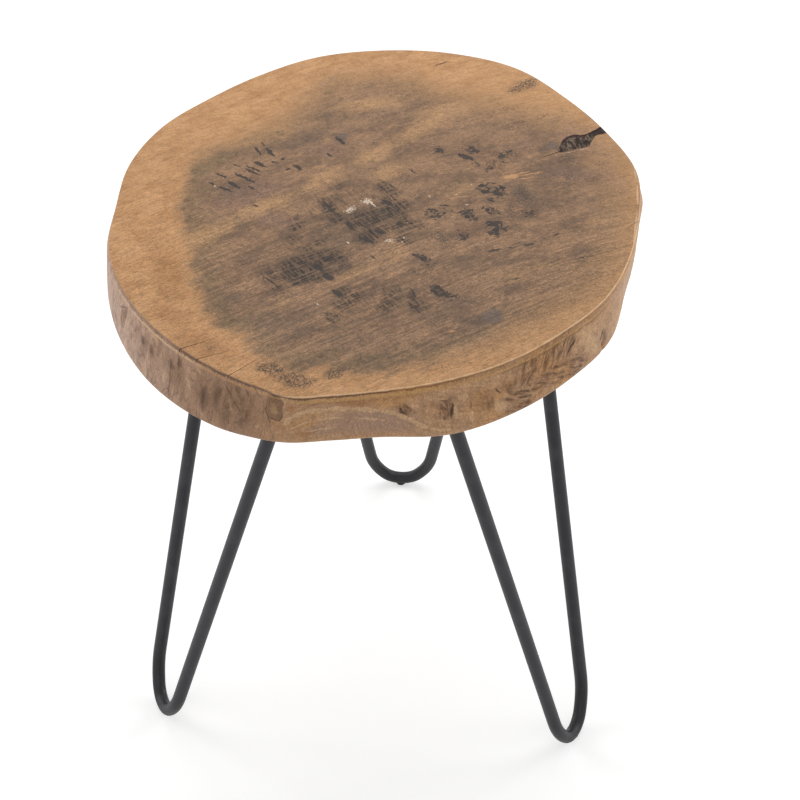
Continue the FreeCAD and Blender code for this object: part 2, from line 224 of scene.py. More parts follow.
# The slab's top: a honey sapwood ring round a smoky heart, scored across the grain by the saw.
# A mark is x, y of its start and of its end in the photograph, half its width in mm[, strength]
topWood = {
    "grainTurn": 34.0,
    "grainSweep": 0.8,
    "honey": tone(186, 140, 96),
    "honeyPale": tone(202, 156, 112),
    "honeyDeep": tone(158, 112, 70),
    "heart": tone(150, 117, 89),
    "heartDeep": tone(117, 92, 72),
    "mauve": tone(136, 106, 88),
    "tan": tone(182, 142, 101),
    "smoke": tone(98, 80, 66),
    "slate": tone(104, 92, 84),
    "moss": tone(122, 101, 72),
    "char": tone(52, 47, 43),
    "chip": tone(54, 50, 48),
    "scratch": tone(228, 208, 186),
    "flame": tone(198, 150, 106),
    "rimGrey": tone(140, 116, 112),
    "rimPaleSheen": tone(214, 178, 146),
    "brown": tone(104, 70, 52),
    "heartCentre": (392, 225),
    "heartEdge": [
        (199, 153), (185, 181), (185, 225), (190, 268), (196, 292), (209, 313), (217, 326),
        (232, 331), (247, 347), (266, 360), (286, 370), (310, 371), (345, 374), (380, 374),
        (430, 366), (480, 351), (530, 325), (592, 296), (624, 255), (631, 215), (622, 172),
        (590, 130), (545, 112), (490, 101), (440, 88), (400, 74), (342, 76), (300, 102),
        (262, 130), (226, 144),
    ],
    "curveReach": 0.2,
    "tanStreaks": [
        (176, 252, 240, 217, 13), (236, 218, 300, 191, 12), (296, 193, 350, 164, 10),
        (345, 167, 400, 141, 9), (312, 168, 330, 165, 4, 0.6), (375, 154, 470, 100, 11, 0.9),
        (318, 112, 424, 96, 13, 0.85), (400, 118, 480, 106, 12, 0.8), (374, 186, 400, 160, 10, 0.8),
        (372, 166, 396, 134, 9, 0.7),
        (196, 160, 214, 150, 8, 0.5), (214, 323, 330, 290, 6, 0.5), (318, 292, 400, 250, 7, 0.6),
        (590, 206, 626, 196, 9, 0.5), (404, 126, 436, 112, 4, 0.6), (380, 262, 412, 246, 8, 0.6),
        (430, 356, 500, 350, 10, 0.9), (300, 330, 420, 300, 6, 0.4), (444, 204, 478, 178, 10, 0.6),
        (530, 350, 566, 330, 9, 0.8),
        (500, 282, 560, 258, 12, 0.5), (574, 228, 616, 214, 9, 0.5),
    ],
    "smokeShades": [
        (206, 296, 262, 308, 20, 0.5), (262, 152, 338, 126, 16, 0.7), (330, 132, 348, 145, 9, 0.8),
        (360, 116, 400, 104, 9, 0.4),
        (200, 200, 262, 180, 16, 0.6), (262, 280, 420, 196, 34, 0.6), (300, 345, 440, 335, 14, 0.4),
        (455, 160, 520, 150, 14, 0.3), (440, 235, 510, 200, 18, 0.2), (278, 278, 345, 256, 24, 0.9),
        (345, 226, 398, 206, 22, 0.8), (250, 334, 345, 324, 16, 0.4), (470, 300, 500, 268, 12, 0.2),
        (560, 150, 622, 132, 16, 0.4), (440, 302, 500, 300, 12, 0.5),
        (236, 322, 300, 322, 14, 0.4), (340, 325, 440, 290, 16, 0.4), (505, 184, 538, 208, 13, 0.9),
        (540, 172, 600, 168, 13, 0.7), (540, 158, 552, 142, 6, 0.8), (522, 312, 566, 300, 6, 0.9),
        (440, 318, 520, 322, 8, 0.7), (500, 252, 560, 234, 5, 0.4), (418, 290, 452, 296, 9, 0.5),
        (500, 328, 540, 312, 10, 0.8),
    ],
    "honeyShades": [(166, 250, 172, 305, 16), (150, 300, 190, 330, 12, 0.7), (240, 102, 284, 84, 9, 0.7),
                    (170, 330, 240, 362, 14, 1.0)],
    "slateShades": [
        (482, 318, 500, 312, 9), (549, 140, 557, 150, 4), (340, 140, 348, 132, 6, 0.8),
        (312, 88, 340, 74, 6, 0.8),
    ],
    "mauveShades": [
        (205, 208, 300, 178, 18, 0.9), (300, 150, 350, 150, 14, 0.5), (250, 215, 300, 225, 12, 0.8),
        (556, 128, 622, 150, 22, 0.9), (600, 158, 630, 200, 12, 0.7), (548, 168, 600, 180, 16, 0.6),
        (196, 190, 220, 170, 8, 0.6), (500, 148, 545, 142, 9, 0.6), (300, 296, 330, 318, 10, 0.5),
    ],
    "mossShades": [
        (186, 178, 232, 152, 10), (188, 268, 196, 226, 8, 0.6), (318, 96, 352, 74, 9, 0.7),
        (372, 88, 452, 78, 12, 0.4), (236, 146, 300, 118, 9, 0.8), (214, 306, 254, 342, 8, 0.4),
    ],
    "hatchPatches": [
        (278, 278, 342, 256, 19), (298, 281, 334, 266, 12), (350, 228, 402, 206, 17, 0.95),
        (358, 240, 390, 227, 12), (383, 205, 396, 198, 10, 0.9), (320, 196, 344, 226, 8, 0.7),
        (342, 214, 358, 236, 8, 0.6), (333, 294, 364, 292, 10, 0.65), (330, 308, 354, 302, 11, 0.5),
        (324, 314, 340, 318, 8, 0.5), (292, 216, 300, 236, 9, 0.5), (334, 194, 350, 204, 8, 0.35),
        (374, 182, 398, 194, 8, 0.65), (392, 214, 410, 240, 11, 0.7), (396, 200, 408, 208, 8, 0.5),
        (396, 216, 424, 228, 8, 0.55), (396, 236, 410, 242, 8, 0.6), (258, 266, 286, 294, 11, 0.45),
        (340, 316, 430, 292, 17, 0.35), (404, 290, 426, 314, 11, 0.5), (296, 250, 326, 240, 10, 0.6),
        (326, 190, 354, 180, 8, 0.4), (440, 350, 460, 340, 9, 0.2), (286, 246, 300, 232, 8, 0.4),
    ],
    "hatchHalo": [(266, 290, 350, 240, 30, 0.9), (310, 200, 410, 225, 34), (330, 300, 440, 290, 26, 0.8)],
    "chipPatches": [
        (480, 184, 504, 198, 9), (490, 186, 503, 194, 7), (490, 221, 503, 230, 8), (492, 228, 500, 236, 6),
        (428, 216, 451, 209, 8), (460, 210, 474, 218, 8), (467, 146, 476, 152, 6, 0.9),
        (427, 285, 452, 298, 9, 0.8), (417, 254, 429, 264, 7, 0.8), (498, 153, 503, 162, 5, 0.8),
        (480, 166, 497, 170, 5, 0.7), (435, 147, 441, 153, 5, 0.8), (506, 150, 518, 157, 5, 0.6),
        (433, 262, 437, 262, 3, 0.6), (524, 208, 534, 218, 6, 0.6),
        (486, 206, 498, 214, 6, 0.7), (472, 164, 484, 162, 4, 0.5), (456, 232, 470, 240, 6, 0.6),
    ],
    "specklePatches": [
        (514, 184, 534, 206, 14), (526, 210, 534, 218, 8), (458, 232, 470, 240, 10),
        (434, 232, 450, 246, 12, 0.9), (484, 160, 502, 168, 10, 0.8), (510, 150, 520, 158, 8, 0.8),
        (438, 366, 458, 372, 9, 0.5), (546, 172, 590, 184, 14, 0.7), (428, 146, 452, 158, 10, 0.6),
        (390, 180, 420, 176, 10, 0.7), (360, 330, 380, 340, 10, 0.4), (545, 152, 590, 166, 12, 0.7),
        (470, 112, 540, 106, 9, 0.6), (484, 128, 548, 122, 9, 0.6), (596, 160, 604, 168, 8, 0.6),
        (508, 196, 516, 230, 9, 0.8), (545, 204, 556, 212, 6, 0.7), (420, 200, 440, 196, 8, 0.6),
        (330, 110, 420, 120, 12, 0.4), (560, 130, 600, 124, 9, 0.5), (400, 250, 440, 290, 12, 0.5),
    ],
    "brownPatches": [
        (478, 150, 500, 160, 10), (490, 162, 506, 172, 9, 0.9), (508, 148, 520, 158, 8, 0.8),
        (556, 172, 600, 158, 12, 0.6), (522, 206, 536, 218, 9, 0.8), (540, 116, 552, 118, 5),
        (455, 224, 476, 244, 11, 0.8), (430, 262, 452, 296, 12, 0.6), (508, 196, 516, 210, 7, 0.8),
    ],
    "meshPatches": [
        (256, 364, 284, 374, 8), (272, 377, 312, 384, 8), (292, 384, 300, 386, 6),
        (324, 376, 346, 369, 7, 0.9), (508, 92, 538, 80, 9, 0.95), (204, 350, 216, 346, 8, 0.3),
        (300, 388, 318, 378, 5, 0.8),
    ],
    "dashes": [
        (209, 182, 215, 185, 1.1), (217, 186, 233, 192, 1.4), (215, 173, 227, 178, 1.4),
        (227, 181, 241, 189, 2.1), (232, 172, 257, 184, 1.5), (244, 165, 262, 172, 1.2),
        (244, 168, 262, 176, 1.3), (253, 161, 266, 167, 2.1), (232, 164, 242, 167, 0.9, 0.7),
        (248, 186, 255, 190, 1.3), (266, 148, 275, 157, 2.0), (254, 146, 262, 156, 0.9, 0.7),
        (260, 142, 266, 146, 1.0, 0.8), (271, 161, 277, 163, 0.9, 0.8), (281, 160, 286, 158, 0.9, 0.9),
        (286, 170, 291, 168, 1.0, 0.9), (294, 165, 302, 170, 2.0), (327, 153, 332, 157, 1.5, 0.8),
        (334, 136, 346, 145, 1.9, 0.8), (321, 199, 338, 217, 2.2, 0.7), (254, 205, 258, 207, 0.9, 0.8),
        (457, 154, 475, 160, 2.8), (493, 190, 501, 196, 2.6, 0.8), (482, 190, 491, 193, 1.5, 0.9),
        (486, 199, 496, 202, 1.4, 0.9), (490, 222, 500, 228, 2.6, 0.8), (494, 232, 499, 236, 1.8, 0.8),
        (484, 252, 503, 249, 1.4, 0.75), (523, 246, 536, 243, 1.2, 0.7), (553, 236, 560, 233, 0.9, 0.9),
        (503, 249, 523, 246, 0.7, 0.5), (536, 243, 553, 236, 0.6, 0.4), (409, 287, 417, 298, 1.0, 0.8),
        (402, 298, 425, 317, 0.9, 0.7), (425, 317, 440, 330, 0.7, 0.4), (255, 270, 285, 292, 0.8, 0.7),
        (408, 168, 418, 175, 1.1, 0.6), (369, 255, 376, 259, 1.2, 0.8), (312, 262, 324, 272, 4.0, 0.6),
        (322, 272, 334, 281, 3.6, 0.6), (362, 237, 373, 243, 3.2, 0.7), (373, 229, 387, 235, 3.0, 0.6),
        (382, 199, 393, 206, 3.0, 0.7), (345, 220, 355, 232, 2.4, 0.6), (332, 290, 342, 297, 2.6, 0.8),
        (376, 184, 386, 191, 1.2, 0.7), (386, 182, 395, 189, 1.1, 0.6), (430, 288, 440, 297, 2.2, 0.7),
        (442, 292, 450, 298, 1.8, 0.7), (418, 256, 425, 262, 1.6, 0.8), (300, 282, 292, 286, 2.0, 0.6),
        (430, 68, 450, 60, 0.8, 0.6), (500, 282, 530, 276, 0.7, 0.4), (566, 262, 596, 254, 0.7, 0.4),
    ],
    "scratches": [
        (345, 212, 355, 207, 4.2, 0.8), (361, 203, 371, 200, 4.2, 0.9), (365, 197, 378, 209, 1.3),
        (383, 241, 396, 240, 3.6, 0.55), (466, 204, 468, 204, 1.0), (471, 185, 472, 184, 0.8),
        (407, 223, 409, 222, 0.9), (403, 238, 405, 238, 0.9), (455, 194, 458, 194, 1.0, 0.8),
        (429, 196, 431, 196, 0.9, 0.8), (213, 185, 217, 187, 0.9), (347, 242, 349, 243, 1.1),
        (317, 304, 319, 304, 1.0), (401, 243, 403, 242, 0.8), (388, 184, 390, 183, 0.7, 0.8),
    ],
    "flames": [
        (504, 178, 518, 175, 3.6), (514, 177, 546, 171, 1.0, 0.9), (518, 180, 534, 177, 0.9, 0.9),
        (516, 174, 532, 171, 0.7, 0.8), (447, 332, 457, 330, 1.8, 0.6), (534, 250, 560, 244, 0.6, 0.4),
    ],
    "rimLines": [
        (573, 101, 600, 126, 1.0), (614, 138, 627, 152, 0.8), (626, 151, 638, 167, 0.9),
        (638, 167, 642, 182, 1.1),
        (641, 180, 642, 206, 1.6), (641, 204, 636, 250, 1.6),
    ],
    # pale lines on the right rim, partly wear and partly a painted highlight on the arris, and two along the
    # split's lower lip
    "paleLines": [
        (632, 166, 637, 184, 0.6, 0.6), (637, 182, 638, 208, 0.9), (638, 206, 632, 250, 0.9),
        (560, 154, 578, 150.5, 0.8, 0.5), (576, 151, 591, 147.5, 0.8, 0.5),
    ],
    "roughness": (0.46, 0.66),
    "gloss": 0.2,
}


def thinLines(vector, scales, half, detail=1.5):
    # narrow lines where slow noise passes its middle value, long in the noise's long direction
    field = stretched(vector, scales, detail=detail, rough=0.5)
    away = calc("ABSOLUTE", calc("SUBTRACT", field, 0.5))
    return ramp(away, half, half * 0.3)


def around(field, *gains):
    # noise made a shade that varies about 1
    return calc("ADD", 1.0, times(calc("SUBTRACT", field, 0.5), *gains))


def lessened(*values):
    # a shade that darkens by the product of the values
    return calc("SUBTRACT", 1.0, times(*values))


def swayed(field, noiseField, amount):
    # a field with noise added that varies about 0
    return calc("ADD", field, sloped(noiseField, amount, -amount / 2))


def times(*values):
    total = values[0]
    for value in values[1:]:
        total = calc("MULTIPLY", total, value)
    return total


def shaded(colour, *shades):
    shade = times(*shades)
    grey = add("CombineColor", {0: shade, 1: shade, 2: shade}).outputs[0]
    return mixTone(1.0, colour, grey, "MULTIPLY")


def painted(colour, kit, *layers):
    # lays tones over a colour, each given as its mask, its strength and its name
    for mask, amount, name in layers:
        colour = mixTone(times(mask, amount), colour, kit[name])
    return colour


def heartShape(place, kit):
    # how far inside the heart's outline, which is a curve of radius against bearing
    centre, _ = photoPoint(*kit["heartCentre"])
    fromCentre = add("VectorMath", {0: place, 1: centre}, operation="SUBTRACT").outputs[0]
    parts = add("SeparateXYZ", {0: fromCentre})
    bearing = calc("ARCTAN2", parts.outputs[1], parts.outputs[0])
    curve = add("FloatCurve", {"Value": sloped(bearing, 1 / math.tau, 0.5)})
    line = curve.mapping.curves[0]
    turns = []
    for x, y in kit["heartEdge"]:
        offset = photoPoint(x, y)[0] - centre
        turns.append((math.atan2(offset.y, offset.x) / math.tau + 0.5, offset.to_2d().length))
    turns.sort()
    seam = (turns[0][1] + turns[-1][1]) / 2 / kit["curveReach"]
    line.points[0].location = (0, seam)
    line.points[1].location = (1, seam)
    for turnShare, radius in turns:
        line.points.new(turnShare, radius / kit["curveReach"])
    curve.mapping.update()
    rim = calc("MULTIPLY", curve.outputs[0], kit["curveReach"])
    flat = add("CombineXYZ", {0: parts.outputs[0], 1: parts.outputs[1]}).outputs[0]
    radius = add("VectorMath", {0: flat}, operation="LENGTH").outputs["Value"]
    return calc("SUBTRACT", rim, radius)


def grainOf(place, kit):
    # coordinates along and across the grain, which swings flatter towards the right rim
    parts = add("SeparateXYZ", {0: turned(place, -kit["grainTurn"])})
    ahead = calc("MAXIMUM", parts.outputs[0], 0.0)
    swing = times(ahead, ahead, kit["grainSweep"])
    across = calc("ADD", parts.outputs[1], swing)
    straight = add("CombineXYZ", {0: parts.outputs[0], 1: across}).outputs[0]
    return straight, bent(straight, (9, 14, 1), (0.0, 0.010, 0.0))


def topFields(place, kit):
    # the coordinates and noises that the layers of the top share
    straight, grain = grainOf(place, kit)
    torn = bent(place, (360, 360, 1), (0.0036, 0.0036, 0.0))
    return {
        "place": place,
        "straight": straight,
        "grain": grain,
        "ragged": bent(place, (130, 130, 1), (0.007, 0.007, 0.0)),
        "torn": torn,
        "wide": stretched(grain, (24, 52, 1), detail=5.0, rough=0.62),
        "streak": stretched(grain, (56, 170, 1), detail=5.0, rough=0.65),
        "fibre": stretched(grain, (150, 720, 1), detail=4.0, rough=0.72),
        "pores": stretched(grain, (230, 1250, 1), detail=1.0, rough=0.5),
        "cloud": stretched(grain, (52, 84, 1), detail=6.0, rough=0.68),
        "crinkle": stretched(torn, (230, 380, 1), detail=2.0, rough=0.6),
        "grit": stretched(place, (1150, 1150, 1), detail=2.0, rough=0.6),
        "sawLines": stretched(straight, (13, 500, 1), detail=2.0, rough=0.55),
    }


def patchMask(wood, marks, low=0.06, high=0.6):
    # soft patches with edges frayed by the mottling and a little along the grain
    field = strokes(wood["ragged"], marks)
    frayed = swayed(swayed(field, wood["cloud"], 0.9), wood["streak"], 0.5)
    return times(ramp(frayed, low, high), ramp(field, 0.0, 0.2))


def hatchMask(wood, kit):
    # rows of short strokes across the grain on a dirty ground, cut by pale lines along it
    field = strokes(wood["ragged"], kit["hatchPatches"])
    ground = swayed(swayed(field, wood["cloud"], 1.1), wood["fibre"], 0.6)
    ground = times(ramp(ground, -0.1, 0.5), ramp(field, 0.0, 0.22))
    cuts = stretched(bent(wood["straight"], (120, 120, 1), (0.002, 0.002, 0)), (560, 130, 1), 2.5, 0.6)
    paleAlong = thinLines(wood["grain"], (17, 330, 1), 0.045)
    paleAcross = thinLines(wood["straight"], (300, 20, 1), 0.035)
    paleLines = calc("MAXIMUM", paleAlong, times(paleAcross, 0.6))
    depth = ramp(cuts, 0.43, 0.54, 0.4, 1.0)
    halo = swayed(strokes(wood["ragged"], kit["hatchHalo"]), wood["cloud"], 1.2)
    faint = times(ramp(halo, 0.05, 0.6), ramp(cuts, 0.48, 0.62), 0.6)
    body = calc("MAXIMUM", times(ground, depth), faint)
    return times(body, lessened(paleLines, 0.75))


def chipMask(wood, kit):
    # angular chips of dark filler in torn grain, some of the cells of two broken patterns
    crooked = bent(wood["straight"], (260, 260, 1), (0.0018, 0.0018, 0))
    field = strokes(wood["ragged"], kit["chipPatches"])
    layers = []
    for cellSize, fill, bias in (((205, 280, 1), 1.0, 0.1), ((430, 560, 1), 0.75, 0.03)):
        scaled = add("VectorMath", {0: crooked, 1: cellSize}, operation="MULTIPLY").outputs[0]
        cells = add("TexVoronoi", {"Vector": scaled, "Scale": 1.0}, voronoi_dimensions="2D")
        draw = add("SeparateColor", {0: cells.outputs["Color"]})
        gaps = add("TexVoronoi", {"Vector": scaled, "Scale": 1.0}, voronoi_dimensions="2D")
        gaps.feature = "DISTANCE_TO_EDGE"
        chosen = calc("GREATER_THAN", sloped(field, fill, -bias), draw.outputs[0])
        dark = ramp(draw.outputs[1], 0.1, 0.7, 0.7, 1.0)
        layers.append(times(chosen, dark, ramp(gaps.outputs["Distance"], 0.04, 0.1)))
    return highest(layers), field


def speckleMask(wood, kit):
    # a scatter of tiny dark pits
    field = strokes(wood["ragged"], kit["specklePatches"])
    pits = stretched(wood["straight"], (620, 760, 1), detail=2.5, rough=0.65)
    reach = sloped(field, 0.3, 0.3)
    return times(ramp(calc("SUBTRACT", reach, pits), -0.02, 0.05), ramp(field, 0, 0.2))


def meshMask(wood, kit):
    # a fine cracked net near the front rim
    crooked = bent(wood["place"], (190, 190, 1), (0.009, 0.009, 0))
    web = add("TexVoronoi", {"Vector": crooked, "Scale": 400.0}, voronoi_dimensions="2D")
    web.feature = "DISTANCE_TO_EDGE"
    field = strokes(wood["ragged"], kit["meshPatches"])
    broken = swayed(swayed(field, wood["cloud"], 1.3), wood["grit"], 1.0)
    return times(ramp(web.outputs["Distance"], 0.24, 0.04), ramp(broken, 0.05, 0.6)), field


def honeyWood(wood, kit, toRight):
    return painted(
        kit["honey"], kit, (ramp(wood["cloud"], 0.42, 0.62), 0.6, "honeyPale"),
        (ramp(wood["streak"], 0.48, 0.68), 0.42, "honeyDeep"),
        (patchMask(wood, kit["honeyShades"], 0.0, 0.7), 0.5, "honeyDeep"), (toRight, 0.3, "tan"),
    )


def heartWood(wood, kit, border):
    return painted(
        kit["heart"], kit, (ramp(wood["wide"], 0.38, 0.64), 1.0, "heartDeep"),
        (ramp(wood["streak"], 0.52, 0.68), 0.3, "tan"), (border, 0.45, "moss"),
        (patchMask(wood, kit["mauveShades"]), 0.7, "mauve"),
        (patchMask(wood, kit["smokeShades"]), 0.55, "smoke"),
        (patchMask(wood, kit["slateShades"]), 0.7, "slate"),
        (patchMask(wood, kit["mossShades"]), 0.6, "moss"),
        (patchMask(wood, kit["tanStreaks"], 0.0, 0.8), 0.7, "tan"),
    )


def honeyAndHeart(place, wood, kit, where):
    # the heart's edge is sharper at the left and in front than at the right and behind
    toRight = ramp(where.outputs[0], 0.03, 0.13)
    soften = calc("MAXIMUM", toRight, ramp(where.outputs[1], 0.03, 0.11))
    inside = swayed(heartShape(place, kit), wood["cloud"], 0.03)
    inside = swayed(swayed(inside, wood["fibre"], 0.014), wood["streak"], 0.018)
    heartMask = ramp(inside, sloped(soften, -0.017, -0.006), sloped(soften, 0.024, 0.008))
    heart = heartWood(wood, kit, times(heartMask, ramp(inside, 0.03, 0.004)))
    return mixTone(heartMask, honeyWood(wood, kit, toRight), heart), heartMask


def grainShadesAndSheen(wood, where, heartMask):
    # fine fibre, pores, saw lines, grit and mottling, strongest in the heart and in front, then a painted
    # sheen that lightens the back of the top
    fine = times(ramp(where.outputs[1], -0.06, 0.1, 1.35, 0.75), ramp(heartMask, 0.0, 1.0, 0.85, 1.0))
    sawGain = calc("ADD", 0.15, times(ramp(where.outputs[1], 0.02, -0.07), heartMask, 0.6))
    darkCurls = times(thinLines(wood["torn"], (170, 260, 1), 0.034, 4.0), ramp(wood["cloud"], 0.44, 0.6))
    paleCurls = thinLines(wood["torn"], (300, 200, 1), 0.026, 4.0)
    honeyCurls = thinLines(wood["ragged"], (120, 210, 1), 0.03, 3.0)
    return (
        around(wood["fibre"], 1.15, fine), around(wood["grit"], 1.1, fine), around(wood["cloud"], 0.5),
        around(wood["sawLines"], sawGain, 1.7), around(wood["crinkle"], heartMask, 0.6),
        lessened(ramp(wood["pores"], 0.42, 0.3, 0.0, 0.26), fine), lessened(darkCurls, heartMask, 0.36),
        lessened(honeyCurls, 0.15), calc("ADD", 1.0, times(paleCurls, heartMask, 0.18)),
        # painted sheen: the top grows lighter towards the back
        ramp(where.outputs[1], 0.05, 0.12, 1.0, 1.06),
    )


def topMarks(colour, place, wood, kit):
    # saw scores, chips, pits and nets, then gouged dashes, an orange flare and pale scratches, and at the
    # rim a grey strip and pale lines, partly a painted highlight
    hatch = hatchMask(wood, kit)
    brownField = strokes(wood["ragged"], kit["brownPatches"])
    brownCurls = thinLines(wood["torn"], (240, 240, 1), 0.05, 3.0)
    brown = times(ramp(swayed(brownField, wood["grit"], 1.2), 0.1, 0.6), brownCurls)
    chips, chipField = chipMask(wood, kit)
    web, webField = meshMask(wood, kit)
    dash = swayed(strokes(wood["torn"], kit["dashes"]), wood["fibre"], 0.5)
    dashCore = ramp(dash, 0.15, 0.3)
    flame = swayed(strokes(wood["torn"], kit["flames"]), wood["fibre"], 0.9)
    scratchMarks = strokes(wood["torn"], kit["scratches"])
    scratch = ramp(swayed(scratchMarks, wood["grit"], 2.4), 0.3, 0.6)
    paleSheenLine = swayed(strokes(place, kit["paleLines"]), wood["grit"], 1.0)
    colour = painted(
        colour, kit, (hatch, 1.0, "char"), (brown, 0.7, "brown"), (ramp(chipField, 0.0, 0.8), 0.25, "smoke"),
        (chips, 0.95, "chip"), (speckleMask(wood, kit), 0.65, "chip"),
        (ramp(webField, 0.0, 0.7), 0.3, "smoke"), (web, 0.82, "char"),
        (ramp(dash, 0.02, 0.26), 0.5, "smoke"), (dashCore, 0.85, "chip"),
        (ramp(flame, 0.08, 0.5), 0.75, "flame"),
        (times(scratch, ramp(scratchMarks, 0.0, 0.2)), 0.8, "scratch"),
        (ramp(strokes(place, kit["rimLines"]), 0.05, 0.5), 0.8, "rimGrey"),
        (ramp(paleSheenLine, 0.1, 0.5), 0.75, "rimPaleSheen"),
    )
    return colour, highest((dashCore, chips, hatch)), web


def topMaterial():
    material, place = newMaterial("oiledSlabTop")
    kit = topWood
    wood = topFields(place, kit)
    where = add("SeparateXYZ", {0: place})
    colour, heartMask = honeyAndHeart(place, wood, kit, where)
    colour = shaded(colour, *grainShadesAndSheen(wood, where, heartMask))
    colour, dark, web = topMarks(colour, place, wood, kit)
    roughField = calc("ADD", wood["fibre"], times(dark, 0.3))
    height = calc("ADD", times(wood["fibre"], 0.5), times(wood["sawLines"], 0.3))
    height = calc("SUBTRACT", calc("SUBTRACT", height, times(dark, 0.8)), times(web, 0.5))
    wire(colour, ramp(roughField, 0.3, 1.0, *kit["roughness"]), height, 0.4, 0.4, kit["gloss"])
    return material


